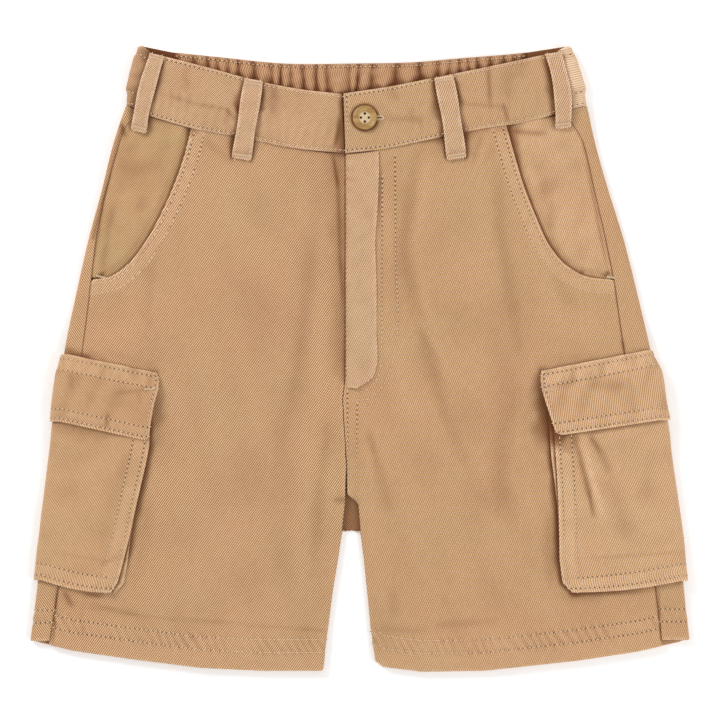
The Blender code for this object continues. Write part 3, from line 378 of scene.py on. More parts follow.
SWELL = 0.34             # the cloth's own slow unevenness
SWELL_LENGTH = 27.0
RIPPLE = 0.10
RIPPLE_LENGTH = 9.0
LONG_SWELL = 0.62        # the unevenness is longer down the leg than across it


def waves(x, y, length, seed, count=10):
    """A smooth uneven swell, mostly between -1 and 1, of about this wavelength."""
    random = np.random.default_rng(seed)
    total = np.zeros(np.broadcast(x, y).shape)
    for _ in range(count):
        turn = random.uniform(0.0, math.tau)
        pace = math.tau / (length * random.uniform(0.7, 1.6))
        start = random.uniform(0, math.tau)
        total += np.cos((x * math.cos(turn) + y * math.sin(turn)) * pace + start)
    return total / math.sqrt(count)


def crease(folds, x, y):
    """Sum of straight folds that taper to nothing at both ends: ridges up, troughs down."""
    total = np.zeros(np.broadcast(x, y).shape)
    for fold in folds:
        run = np.array([fold.x1 - fold.x0, fold.y1 - fold.y0])
        length = np.hypot(*run)
        t = ((x - fold.x0) * run[0] + (y - fold.y0) * run[1]) / length ** 2
        away = ((x - fold.x0) * run[1] - (y - fold.y0) * run[0]) / length
        taper = ease(-0.25, 0.25, t) * (1 - ease(0.75, 1.25, t))
        total = total - fold.depth * taper * bell(away, fold.reach)
    return total


def slow_swell(x, y):
    """The cloth's slow unevenness, calmer in the hem."""
    calm = ease(0.0, 12.0, y - hem_y(x))
    down = LONG_SWELL * y
    swell = SWELL * waves(x, down, SWELL_LENGTH, 11) + RIPPLE * waves(x, down, RIPPLE_LENGTH, 12)
    return swell * (0.3 + 0.7 * calm)


def leg_top(side, x, y):
    """Height of the laid leg's upper face."""
    plain = lift(side, x, y) + body_height(x, y)
    return plain + (crease(SMALL_FOLDS, x, y) + slow_swell(x, y))


def around_leg(side, y, angle, offset):
    """A point on the outer fold: angle 90 is on top, -90 beneath, offset is outwards."""
    centre_x = fold_start(side, y)
    low = lift(side, centre_x, y)
    thick = leg_top(side, centre_x, y) - low
    turn = np.radians(angle)
    return (centre_x + side * (LEG_FOLD + offset) * np.cos(turn),
            low + thick / 2 + (thick / 2 + offset) * np.sin(turn))


# --- grids of points ----------
JOIN = 0.06              # plan gap between sewn shells
ALL_EDGES = ("top", "foot", "first", "last")     # of a grid of points
EDGE_STEPS = (0.0, 0.3, 0.75, 1.4)   # rows close to an edge, so that it can be rounded
ROLL = 0.7               # the edge is rounded over this width


def spaced(length, count, near=EDGE_STEPS, far=EDGE_STEPS):
    """Distances along a line: this many even steps, and closer ones at both its ends."""
    middle = np.linspace(near[-1], length - far[-1], count + 1)[1:-1]
    return np.concatenate([near, middle, length - np.array(far[::-1])])


def line_points(points, distances):
    """Points at these distances along a line of points."""
    length = run_lengths(points)
    at = np.asarray(distances) / distances[-1] * length[-1]
    return np.stack([np.interp(at, length, values) for values in points.T], axis=1)


def gaps(points):
    """Distance of each grid point from the grid's four edges, measured along the cloth."""
    down = np.linalg.norm(np.diff(points, axis=0), axis=2)
    down = np.concatenate([np.zeros((1, points.shape[1])), np.cumsum(down, axis=0)])
    over = np.linalg.norm(np.diff(points, axis=1), axis=2)
    over = np.concatenate([np.zeros((points.shape[0], 1)), np.cumsum(over, axis=1)], axis=1)
    return {"top": down, "foot": down[-1:] - down, "first": over, "last": over[:, -1:] - over}


def grid_normals(points):
    """Unit normals of a grid of points, up at its first corner."""
    normals = np.cross(np.gradient(points, axis=0), np.gradient(points, axis=1))
    normals /= np.maximum(np.linalg.norm(normals, axis=2, keepdims=True), 1e-9)
    return normals if normals[0, 0, 2] > 0 else -normals


def rolled(distance, width=ROLL):
    """How far a turned edge has rolled down, as a share, at a distance from it."""
    t = np.clip(1 - distance / width, 0, 1)
    return 1 - np.sqrt(1 - t * t)


def channel(distance, at, width=0.75):
    """A stitched row draws the cloth down beside it."""
    return bell(distance - at, width)


def round_corners(plain, corners, radius):
    """Ease corners of a grid in to an arc; a corner is its two edges."""
    away = gaps(plain)
    down, over = np.gradient(plain, axis=0), np.gradient(plain, axis=1)
    ways = {"top": down, "foot": -down, "first": over, "last": -over}
    eased = plain.copy()
    for pair in corners:
        near = [np.clip(1 - away[name_of_edge] / radius, 0, 1) for name_of_edge in pair]
        for name_of_edge, share, other in zip(pair, near, near[::-1]):
            way = ways[name_of_edge]
            way = way / np.linalg.norm(way, axis=2, keepdims=True)
            eased += way * (radius * share * (1 - np.sqrt(1 - other ** 2 / 2)))[..., None]
    return eased


def near_line(x, y, line):
    """Distance of points from a line of plan points."""
    best = np.full(np.broadcast(x, y).shape, 1e9)
    for start, end in zip(line, line[1:]):
        best = np.minimum(best, from_segment(x, y, start, end)[0])
    return best


# --- meshes ----------
BODY = "root"
PIECES = {}              # each shell's outer points and normals, by name
Shell = namedtuple("Shell", "piece outer inner normals gaps relief")
EDGE_ROLL = 0.35         # how much of the wall a turned edge gives up outside
INNER_ROLL = 0.45        # and inside
WORN_REACH = 1.2         # a turned edge is rubbed pale over this width: wear, with a painted highlight on the rolled edge
INNER_WORN = 0.3         # the inner face is rubbed by this share of it
SHARP_CLOTH = 55         # degrees; cloth bends round below this
SHARP_HORN = 35


def linked(name, data):
    """An object with these data, in the scene."""
    made = bpy.data.objects.new(name, data)
    bpy.context.scene.collection.objects.link(made)
    return made


def read(items, field, width=1, kind=float):
    """One value, or a row of them, for each of a mesh's items."""
    values = np.zeros(len(items) * width, kind)
    items.foreach_get(field, values)
    return values.reshape(-1, width) if width > 1 else values


def mark_points(mesh, name, values, kind="FLOAT", field="value"):
    """Keep values for a mesh's points under a name."""
    attribute = mesh.attributes.new(name, kind, "POINT")
    attribute.data.foreach_set(field, np.asarray(values, np.float32).ravel())


def lay_cloth(mesh, places):
    """Give a mesh's points their places on the flat cloth, in metres."""
    at_corners = places[read(mesh.loops, "vertex_index", kind=np.int32)]
    layer = mesh.uv_layers.get("cloth") or mesh.uv_layers.new(name="cloth")
    layer.data.foreach_set("uv", at_corners.astype(np.float32).ravel())


def solved_mesh(piece):
    """The mesh that an object's modifiers make."""
    return bpy.data.meshes.new_from_object(
        piece.evaluated_get(bpy.context.evaluated_depsgraph_get()))


def grid_index(grid, start=0):
    """The numbers of a grid's points, and its faces."""
    rows, columns = grid.shape[:2]
    index = np.arange(rows * columns).reshape(rows, columns) + start
    faces = [index[:-1, :-1], index[1:, :-1], index[1:, 1:], index[:-1, 1:]]
    return index, np.stack(faces, axis=2).reshape(-1, 4)


def make_mesh(name, points, faces, material=None):
    """An object at the origin from points in millimetres."""
    mesh = bpy.data.meshes.new(name)
    mesh.from_pydata((np.asarray(points) * METRES).tolist(), [], faces)
    if material:
        mesh.materials.append(material)
    return linked(name, mesh)


def smooth(piece, angle=SHARP_CLOTH):
    piece.data.shade_smooth()
    piece.data.set_sharp_from_angle(angle=math.radians(angle))


def wall_faces(grid, flip):
    """Faces of a closed wall between two grids."""
    index, top = grid_index(grid)
    count = index.size
    rim = np.concatenate([index[0, :-1], index[:-1, -1], index[-1, :0:-1], index[:0:-1, 0]])
    after = np.roll(rim, -1)
    side = np.stack([rim, after, after + count, rim + count], axis=1)
    faces = np.concatenate([top, top[:, ::-1] + count, side])
    return (faces[:, ::-1] if flip else faces).tolist()


def make_shell(name, node, plain, wall, material, detail=0.0, roll_edges=(),
               worn_edges=(), along=0.0, worn=0.0, shape=0.0, roll=EDGE_ROLL,
               by_plan=False):
    """A cloth wall on a grid of plain points, with its details raised in the outer face.

    roll_edges are turned edges and worn_edges are rubbed pale; shape and worn are the same for
    edges within the grid.  along is the cloth's first coordinate at the grid's first column,
    and by_plan takes the cloth's coordinates from the plan instead.
    """
    away = gaps(plain)
    normals = grid_normals(plain)
    thick = np.broadcast_to(wall, plain.shape[:2]).astype(float)
    drop = np.zeros(plain.shape[:2]) + shape
    for name_of_edge in roll_edges:
        drop = np.maximum(drop, rolled(away[name_of_edge]))
    outer = plain + normals * (detail - roll * thick * drop)[..., None]
    inner = plain - normals * (thick * (1 - INNER_ROLL * drop))[..., None]
    cloth = np.stack([away["first"] + along, plain[..., 1]], axis=2).reshape(-1, 2)
    rub = np.zeros(plain.shape[:2]) + worn
    for name_of_edge in worn_edges:
        rub = np.maximum(rub, bell(away[name_of_edge], WORN_REACH))
    down, across = plain[1, 0] - plain[0, 0], plain[0, 1] - plain[0, 0]
    flip = np.dot(np.cross(down, across), normals[0, 0]) < 0
    points = np.concatenate([outer.reshape(-1, 3), inner.reshape(-1, 3)])
    piece = make_mesh(name, points, wall_faces(plain, flip), material)
    lay_cloth(piece.data, np.concatenate([cloth, cloth]) * METRES)
    mark_points(piece.data, "worn", np.concatenate([rub, INNER_WORN * rub]))
    smooth(piece)
    if by_plan:
        lay_cloth(piece.data, read(piece.data.vertices, "co", 3)[:, :2])
    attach(piece, BODY)
    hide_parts(node)
    PIECES[name] = Shell(piece, outer, inner, normals, away,
                         np.broadcast_to(detail, plain.shape[:2]))
    return PIECES[name]


# --- finishes ----------
DRILL = (0.521, 0.321, 0.166)
DRILL_POCKET = (0.541, 0.336, 0.175)
DRILL_PALE = (0.570, 0.362, 0.196)
DRILL_FACING = (0.501, 0.317, 0.156)
DRILL_BAND = (0.518, 0.325, 0.172)
# painted shade and painted light: the band's left side is a darker copy of its drill, and its right
# side a lighter one, for how light falls at the garment's sides
DRILL_BAND_SHADED = (0.452, 0.272, 0.145)
DRILL_BAND_LIT = (0.676, 0.494, 0.312)
DRILL_LOOP = (0.565, 0.365, 0.215)
DRILL_FLY = (0.558, 0.365, 0.211)
# painted shade: a darker copy of the drill for the gathered inside of the band, which lies in shade
DRILL_INNER_SHADED = (0.465, 0.262, 0.136)
THREAD = (0.840, 0.620, 0.410)
# painted shade: dark beads at the needle holes and a dark box in the buttonhole's slit stand in for
# the shade inside them
NEEDLE_HOLE_SHADE = (0.130, 0.050, 0.020)
HORN = (0.317, 0.169, 0.047)
HORN_LIGHT = (0.499, 0.311, 0.101)
HORN_DISH = (0.640, 0.490, 0.300)
SHADE_TINT = (0.30, 0.165, 0.085)   # painted shade: the colour in a recess, against the open cloth
ROSY = (1.03, 0.965, 0.985)       # slow mottling
WEAR_AND_HIGHLIGHT_TINT = (1.38, 1.50, 1.75)  # cloth with its dye rubbed off, made paler still as a painted highlight on rolled edges and ridges
WEAVE_SHOWS = (0.74, 1.10, 1.88)  # how strongly the weave shows in red, green and blue
MEAN_WEAVE = 0.42
SLUB_SHOWS, FINE_SHOWS = 0.20, 0.14
FINE_SCALE, PATCH_SCALE, MOTTLE_SCALE = 420.0, 240.0, 16.0      # for each metre
WANDER_SCALE = 0.045     # for each pitch of the ribs, as the next three
SLUB_SCALE = (0.8, 0.16, 1.0)
FLOATS_A_PITCH = 0.62
FLOAT_DEPTH = 0.16       # a share of the rib's height
RIB_RELIEF = 0.2         # millimetres
GRAIN_SCALE = 2600.0
GRAIN_DARK = 0.78
HORN_SCALE = 330.0
DISH_FROM, DISH_TO = 3.0, 3.9     # radius where the button's pale dish ends
RING_PACE = 9000.0       # radians for each metre


def fill(tree, node, inputs):
    """Set or link a node's inputs."""
    for key, value in inputs.items():
        if isinstance(value, bpy.types.NodeSocket):
            tree.links.new(value, node.inputs[key])
        else:
            node.inputs[key].default_value = value
    return node


def lay(tree, kind, inputs=None, **settings):
    """A new node with its settings and its inputs."""
    node = tree.nodes.new(kind)
    for key, value in settings.items():
        setattr(node, key, value)
    return fill(tree, node, inputs or {})


def calc(tree, operation, a, b=0.5, c=0.5):
    """The number that one step of arithmetic gives."""
    return lay(tree, "ShaderNodeMath", {0: a, 1: b, 2: c}, operation=operation).outputs[0]


def scaled(tree, vector, by):
    return lay(tree, "ShaderNodeVectorMath", {0: vector, 1: by}, operation="MULTIPLY").outputs[0]


def range_of(tree, value, low, high, to_low=0.0, to_high=1.0):
    """A value between low and high, spread between two others."""
    inputs = {0: value, 1: low, 2: high, 3: to_low, 4: to_high}
    return lay(tree, "ShaderNodeMapRange", inputs).outputs[0]


def blend(tree, share, colour, other, kind="MIX"):
    """A colour with a share of another mixed in, or multiplied by it."""
    ends = [c if isinstance(c, bpy.types.NodeSocket) else (*c, 1.0) for c in (colour, other)]
    return lay(tree, "ShaderNodeMix", {0: share, 6: ends[0], 7: ends[1]},
               data_type="RGBA", blend_type=kind).outputs[2]


def noise(tree, vector, scale, detail=2.0):
    made = lay(tree, "ShaderNodeTexNoise", {"Vector": vector, "Scale": scale, "Detail": detail})
    return made.outputs["Fac"]


def raised(tree, height, strength, depth):
    """Normals of a face raised by a height of this many millimetres."""
    inputs = {"Height": height, "Strength": strength, "Distance": depth * METRES}
    return lay(tree, "ShaderNodeBump", inputs).outputs["Normal"]


def new_group(name, inputs, outputs, kind="ShaderNodeTree"):
    """A group with named sockets; gives the tree and its two ends."""
    tree = bpy.data.node_groups.new(name, kind)
    for in_out, sockets in (("INPUT", inputs), ("OUTPUT", outputs)):
        for socket, socket_kind, *value in sockets:
            made = tree.interface.new_socket(socket, in_out=in_out,
                                             socket_type="NodeSocket" + socket_kind)
            if value:
                made.default_value = value[0]
    return tree, tree.nodes.new("NodeGroupInput").outputs, tree.nodes.new("NodeGroupOutput").inputs


def new_material(name):
    """A material, its tree and its shader."""
    material = bpy.data.materials.new(name)
    material.use_nodes = True
    return material, material.node_tree, material.node_tree.nodes["Principled BSDF"]


def twill_group():
    """Diagonal ribs, broken into floats.  The vector is in rib pitches, its X across the ribs."""
    tree, given, out = new_group("twill weave", [("Vector", "Vector"), ("Wander", "Float", 0.9)],
                                 [("Weave", "Float"), ("Slub", "Float")])
    parts = lay(tree, "ShaderNodeSeparateXYZ", {0: given["Vector"]})
    bend = calc(tree, "SUBTRACT", noise(tree, given["Vector"], WANDER_SCALE), 0.5)
    across = calc(tree, "MULTIPLY_ADD", bend, given["Wander"], parts.outputs["X"])
    rib = calc(tree, "COSINE", calc(tree, "MULTIPLY", across, math.tau))
    rib = calc(tree, "MULTIPLY_ADD", rib, 0.5, 0.5)
    own = lay(tree, "ShaderNodeTexWhiteNoise", {"W": calc(tree, "FLOOR", across)},
              noise_dimensions="1D").outputs["Value"]
    turn = calc(tree, "MULTIPLY_ADD", parts.outputs["Y"], FLOATS_A_PITCH, own)
    bead = calc(tree, "COSINE", calc(tree, "MULTIPLY", turn, math.tau))
    bead = calc(tree, "MULTIPLY_ADD", bead, FLOAT_DEPTH, 1 - FLOAT_DEPTH)
    tree.links.new(calc(tree, "MULTIPLY", rib, bead), out["Weave"])
    slub = noise(tree, scaled(tree, given["Vector"], SLUB_SCALE), 1.0, 3.0)
    tree.links.new(slub, out["Slub"])
    return tree


def tone_group():
    """Cloth colour from its weave, its slow mottling, its rubbed edges with painted highlights, and
    painted shade.
    """
    tree, given, out = new_group(
        "drill tone",
        [("Vector", "Vector"), ("Weave", "Float", 0.5), ("Slub", "Float", 0.5),
         ("Rubbed", "Float", 0.0), ("Deep", "Float", 0.0), ("Cloth", "Color"),
         ("Contrast", "Float", 0.5)],
        [("Color", "Color"), ("Roughness", "Float")])
    weave = calc(tree, "SUBTRACT", given["Weave"], MEAN_WEAVE)
    shade = calc(tree, "MULTIPLY_ADD", weave, given["Contrast"], 1.0)
    uneven = calc(tree, "SUBTRACT", given["Slub"], 0.5)
    shade = calc(tree, "MULTIPLY_ADD", uneven, SLUB_SHOWS, shade)
    fine = calc(tree, "SUBTRACT", noise(tree, given["Vector"], FINE_SCALE), 0.5)
    shade = calc(tree, "MULTIPLY_ADD", fine, FINE_SHOWS, shade)
    tints = [calc(tree, "MAXIMUM", calc(tree, "MULTIPLY_ADD", shade, weight, 1 - weight), 0.0)
             for weight in WEAVE_SHOWS]
    tint = lay(tree, "ShaderNodeCombineColor", dict(enumerate(tints))).outputs[0]
    woven = blend(tree, 1.0, given["Cloth"], tint, "MULTIPLY")
    rosy = blend(tree, 1.0, woven, ROSY, "MULTIPLY")
    mottle = range_of(tree, noise(tree, given["Vector"], MOTTLE_SCALE, 4.0), 0.35, 0.68)
    mottled = blend(tree, mottle, woven, rosy)
    patchy = noise(tree, given["Vector"], PATCH_SCALE, 3.0)
    # the rubbed mark holds edge wear and painted highlights on ridges and crests
    rub = calc(tree, "MULTIPLY", given["Rubbed"], range_of(tree, patchy, 0.3, 0.6, 0.35))
    worn = blend(tree, rub, mottled, blend(tree, 1.0, mottled, WEAR_AND_HIGHLIGHT_TINT, "MULTIPLY"))
    # painted shade: the cloth turns to the darker tint where the shade attribute is high
    dark = blend(tree, 1.0, worn, SHADE_TINT, "MULTIPLY")
    tree.links.new(blend(tree, given["Deep"], worn, dark), out["Color"])
    tree.links.new(calc(tree, "MULTIPLY_ADD", given["Weave"], -0.10, 0.92), out["Roughness"])
    return tree


TWILL = twill_group()
TONE = tone_group()


def drill(name, colour, angle, pitch, contrast):
    """Woven cotton drill whose ribs run at this angle on the piece's own cloth coordinates."""
    material, tree, shader = new_material(name)
    cloth = lay(tree, "ShaderNodeUVMap", uv_map="cloth").outputs[0]
    ribs = lay(tree, "ShaderNodeMapping", {
        "Vector": cloth, "Rotation": (0.0, 0.0, math.radians(90 - angle)),
        "Scale": (1 / (pitch * METRES),) * 3}).outputs[0]
    weave = lay(tree, "ShaderNodeGroup", {"Vector": ribs}, node_tree=TWILL).outputs
    # the first attribute holds edge wear with painted highlights, the second painted shade
    rubbed, deep = (lay(tree, "ShaderNodeAttribute", attribute_name=kept).outputs["Fac"]
                    for kept in ("worn", "deep"))
    tone = lay(tree, "ShaderNodeGroup", {
        "Vector": cloth, "Weave": weave["Weave"], "Slub": weave["Slub"], "Rubbed": rubbed,
        "Deep": deep, "Cloth": (*colour, 1.0), "Contrast": contrast}, node_tree=TONE).outputs
    fill(tree, shader, {
        "Base Color": tone["Color"], "Roughness": tone["Roughness"],
        "Normal": raised(tree, weave["Weave"], 0.6, RIB_RELIEF),
        "Specular IOR Level": 0.2, "Sheen Weight": 0.12, "Sheen Roughness": 0.5})
    return material


def plain_finish(name, colour, roughness):
    """A fine grained matt finish for thread, and for the dark beads of painted shade at the needle
    holes.
    """
    material, tree, shader = new_material(name)
    grain = noise(tree, lay(tree, "ShaderNodeTexCoord").outputs["Object"], GRAIN_SCALE, 3.0)
    dark = [GRAIN_DARK * c for c in colour]
    fill(tree, shader, {
        "Base Color": blend(tree, grain, dark, colour), "Roughness": roughness,
        "Normal": raised(tree, grain, 0.5, 0.1), "Specular IOR Level": 0.1})
    return material


def horn_finish():
    """Warm clouded horn with turned rings, paler in the dish."""
    material, tree, shader = new_material("horn button")
    place = lay(tree, "ShaderNodeMapping", {
        "Vector": lay(tree, "ShaderNodeTexCoord").outputs["Object"],
        "Location": (-BUTTON_X * METRES, -BUTTON_Y * METRES, 0.0)}).outputs[0]
    cloud = noise(tree, scaled(tree, place, (0.55, 1.0, 1.0)), HORN_SCALE, 4.0)
    cloud = range_of(tree, cloud, 0.36, 0.66)
    flat = scaled(tree, place, (1.0, 1.0, 0.0))
    radius = lay(tree, "ShaderNodeVectorMath", {0: flat}, operation="LENGTH").outputs["Value"]
    dish = range_of(tree, radius, DISH_FROM * METRES, DISH_TO * METRES, 1.0, 0.0)
    rings = calc(tree, "SINE", calc(tree, "MULTIPLY", radius, RING_PACE))
    fill(tree, shader, {
        "Base Color": blend(tree, dish, blend(tree, cloud, HORN, HORN_LIGHT), HORN_DISH),
        "Roughness": calc(tree, "MULTIPLY_ADD", cloud, 0.12, 0.34),
        "Normal": raised(tree, rings, 0.12, 0.05)})
    return material


Weave = namedtuple("Weave", "colour angle pitch contrast")
CLOTHS = {               # left and right: the ribs' angle and pitch follow each piece's cut
    "leg": (Weave(DRILL, 55.0, 1.12, 1.45), Weave(DRILL, 67.5, 1.125, 0.95)),
    "facing": (Weave(DRILL_FACING, 52.0, 1.04, 1.25), Weave(DRILL_PALE, 71.0, 1.14, 0.85)),
    "band": (Weave(DRILL_BAND, 53.0, 1.05, 1.50), Weave(DRILL_BAND, 67.0, 1.12, 0.95)),
    "bag": (Weave(DRILL_POCKET, 50.0, 1.08, 0.76), Weave(DRILL_PALE, 63.0, 1.20, 0.86)),
    "flap": (Weave(DRILL, 47.0, 1.04, 0.80), Weave(DRILL_PALE, 66.0, 1.15, 0.90)),
    "loop": (Weave(DRILL_LOOP, 52.0, 1.11, 1.10), Weave(DRILL_LOOP, 60.0, 1.11, 1.00)),
    # the band's sides: a shaded copy on the left and a lit copy on the right, painted light and
    # shade
    "side band": (Weave(DRILL_BAND_SHADED, 127.0, 1.15, 1.00),
                  Weave(DRILL_BAND_LIT, 168.0, 1.10, 0.60))}
FINISHES = {(name, side): drill(f"drill {name} {SIDE_NAME[side]}", *weave)
            for name, pair in CLOTHS.items() for side, weave in zip((LEFT, RIGHT), pair)}
FLY_MATERIAL = drill("drill fly", DRILL_FLY, 64.0, 1.12, 0.95)
GATHER_MATERIAL = drill("drill gathered", DRILL_INNER_SHADED, 122.0, 1.15, 0.85)
THREAD_FINISH = plain_finish("topstitch thread", THREAD, 0.75)
HOLE_SHADE_FINISH = plain_finish("needle hole", NEEDLE_HOLE_SHADE, 0.95)


# --- sewn rows ----------
THREAD_LIFT = 0.18       # a stitch's middle stands this far above the cloth
LOWEST_THREAD = 0.24     # beneath the garment the thread lies inside its channel
ROWS = []                # stitched rows with needle holes, as points in millimetres
PLAIN_ROWS = []          # stitched rows that have closed over their holes


def stitch_line(points):
    """Keep a row for the topstitching."""
    points = np.array(points)
    points[:, 2] = np.maximum(points[:, 2], LOWEST_THREAD)
    steps = np.linalg.norm(np.diff(points, axis=0), axis=1)
    kept = np.concatenate([[True], steps > 1e-4])
    ROWS.append(points[kept])


def line_across(points, keys, at):
    """The line on a grid of points where the keys down each of its columns reach a value."""
    return np.array([[np.interp(at, keys[:, c], points[:, c, k]) for k in range(3)]
                     for c in range(points.shape[1])])


def inset(shell, name_of_edge, distance, start=0.0, end=1.0):
    """The line on a shell at a distance from one of its edges, between shares of its length."""
    points = shell.outer + shell.normals * THREAD_LIFT
    away = shell.gaps[name_of_edge]
    if name_of_edge in ("first", "last"):
        points, away = points.transpose(1, 0, 2), away.T
    if away[0, 0] > away[-1, 0]:
        points, away = points[::-1], away[::-1]
    line = line_across(points, away, distance)
    first, last = (int(round(share * (len(line) - 1))) for share in (start, end))
    return line[first:last + 1]


def sew(shell, rows):
    """Stitch rows at distances from a shell's edges; a row is (edge, distance, start, end)."""
    for row in rows:
        stitch_line(inset(shell, *row))


def drawn(away, rows, depth=0.22):
    """The cloth drawn down along its stitched rows."""
    total = np.zeros(away["top"].shape)
    for name_of_edge, distance, *_ in rows:
        total = total - depth * channel(away[name_of_edge], distance)
    return total


# --- fronts ----------
SCOOP_ROWS_AT = (2.4, 8.4)       # stitched rows from the pocket's mouth
SCOOP_FACING = 9.4       # the mouth's turned facing ends here and the cloth steps down
SCOOP_STEP = 0.35
HEM_ROWS_AT = (11.1, 18.7)       # and from the foot
PUCKER = 0.50            # height of the hem's puckers
PUCKER_PITCH = 5.6
PUCKER_SLANT = 0.55
TURNED_RUB = 0.20        # doubled cloth is rubbed paler than single
MOUTH_TURNED = (8.2, 9.8)        # the doubled cloth ends between these, from the mouth
HEM_TURNED = (18.4, 20.0)        # and from the foot
HEM_TURNED_SHARE = 0.7
HEM_WORN = 0.9           # the hem's fold is rubbed over this width
INSEAM_RUB = 0.35
ROW_CLEAR = 0.6          # the stitched rows of a front stop this far from its seams
NEAR_MOUTH = (0.0, 0.3, 0.75, 1.4, 2.1, 2.8, 3.6, 4.6, 5.6, 6.6, 7.5, 8.3, 9.1, 10.0)
NEAR_INNER = (0.0, 0.3, 0.7, 1.2, 1.8, 2.5, 3.4, 4.6)
NEAR_HEM = (0.0, 0.3, 0.75, 1.4, 2.6, 4.0, 5.4, 6.8, 8.2, 9.4, 10.3, 11.1, 11.9, 12.8, 14.0,
            15.2, 16.4, 17.4, 18.2, 19.0, 19.8, 20.8, 22.0, 23.4)
HEM_CLOTH_FROM, HEM_CLOTH_FULL = 3.0, 5.0   # from the inner edge, where the hem thickens
FRONT_MIDDLE_ROWS = 190
COLUMN_SHARES = np.concatenate([   # closer together where the pocket's edge lies on the leg
    np.linspace(0, 0.14, 11)[1:], np.linspace(0.14, 0.31, 36)[1:],
    np.linspace(0.31, 1.0, 92)[1:-1]])
J_ROW = rows_of(Point, [
    (21, 122.6), (21.4, 60), (21.6, 7.2), (20.1, 0), (16.8, -10.2), (13.2, -17), (9, -21.4),
    (4.6, -24.2), (-1.2, -24.6)])
INNER_J_ROW = rows_of(Point, [
    (13.4, 110), (13.2, 60), (13, 10), (12.6, -2), (10.4, -11.5), (5.6, -17.6), (-1.4, -20.6)])
RISE_ROW = rows_of(Point, [(-7.6, -19), (-7.4, -50), (-6.9, -79)])
INNER_RISE_ROW = rows_of(Point, [(-1.6, -26), (-1.9, -50), (-2, -84)])
FREE_ROWS = (            # the right front's rows beside the fly: line, sink, points
    (J_ROW, 0.26, 160), (INNER_J_ROW, 0.26, 160), (RISE_ROW, 0.24, 60), (INNER_RISE_ROW, 0.24, 60))
SCOOP_SINK, HEM_SINK = 0.24, 0.22        # a stitched row draws the cloth down by this
HEM_SINK_WIDTH = 0.9
INNER_DROP = 0.8         # the inner edge rolls down by this share of a turned edge's roll


def polyline(points, fractions):
    """Points at fractions of a line's length, on a smooth curve through its corners."""
    points = np.asarray(points, float)
    length = run_lengths(points)
    at = np.asarray(fractions) * length[-1]
    return np.stack([curve(length, values, at) for values in points.T], axis=1)


def scoop_line(side, count=60):
    return polyline(SCOOPS[side], np.linspace(0, 1, count))


def hem_puckers(x, y, above):
    """Slanting puckers that the hem's two rows pull into the turned cloth."""
    slanted = x + PUCKER_SLANT * above
    wave = np.sin(math.tau * slanted / PUCKER_PITCH + 1.4 * waves(x, y, 30.0, 31))
    strength = ease(7.0, 12.0, above) * (1 - ease(18.0, 23.0, above))
    return PUCKER * wave * strength * (0.6 + 0.4 * waves(x, y, 26.0, 32))


def front_columns(width):
    """Shares of a front's width, close together at both its edges."""
    start, end = NEAR_MOUTH[-1], width - NEAR_INNER[-1]
    middle = mix(start, end, COLUMN_SHARES)
    return np.concatenate([NEAR_MOUTH, middle, width - np.array(NEAR_INNER[::-1])]) / width


def front_plan(side):
    """Plan points of a front, blended from its four edges, rows level with the hem below."""
    foot_y = hem_y(edge(SIDE_SEAMS, SIDE_SEAMS[-1].y, side))
    scoop = scoop_line(side)
    seam_y = np.linspace(scoop[-1][1], foot_y, 120)[1:]
    seam = np.stack([edge(SIDE_SEAMS, seam_y, side) - side * JOIN / 2, seam_y], axis=1)
    hem_in, top_in = (straight(INNER_EDGES, INNER_EDGES[end].y, side) for end in (-1, 0))
    inner_y = np.linspace(waist_y(top_in) - JOIN, hem_y(hem_in), 240)
    inner_line = np.stack([straight(INNER_EDGES, inner_y, side), inner_y], axis=1)
    outer_line = np.concatenate([scoop, seam])
    outer_line[0, 1] = waist_y(outer_line[0, 0]) - JOIN
    down = [spaced(run_lengths(line)[-1], FRONT_MIDDLE_ROWS, EDGE_STEPS, NEAR_HEM)
            for line in (outer_line, inner_line)]
    outer = line_points(outer_line, down[0])
    inner = line_points(inner_line, down[1])
    v = ((down[0] / down[0][-1] + down[1] / down[1][-1]) / 2)[:, None, None]
    u = np.array([front_columns(width) for width in np.linalg.norm(inner - outer, axis=1)])
    waist_x, hem_x = (mix(outer[end, 0], inner[end, 0], u) for end in (0, -1))
    waist = np.stack([waist_x, waist_y(waist_x) - JOIN], axis=2)
    hem = np.stack([hem_x, hem_y(hem_x)], axis=2)
    u = u[..., None]
    plan = (1 - u) * outer[:, None] + u * inner[:, None] + (1 - v) * waist + v * hem
    plan -= (1 - u) * (1 - v) * outer[0] + u * (1 - v) * inner[0]
    return plan - (1 - u) * v * outer[-1] - u * v * inner[-1]


def inseam_turn(distance, y):
    """Share of the way down to mid height at a distance from the inner edge, below the crotch."""
    return rolled(distance, INSEAM_ROLL) * (1 - ease(LEGS_PARTED, CROTCH_TOP, y))


def front_plain(side, x, y):
    """Height of a front before its sewn details."""
    z = leg_top(side, x, y)
    away = side * (x - straight(INNER_EDGES, y, side))
    middle = lift(side, x, y) + BODY_HEIGHT / 2 + SEAM_GAP
    return z - (z - middle) * inseam_turn(away, y)


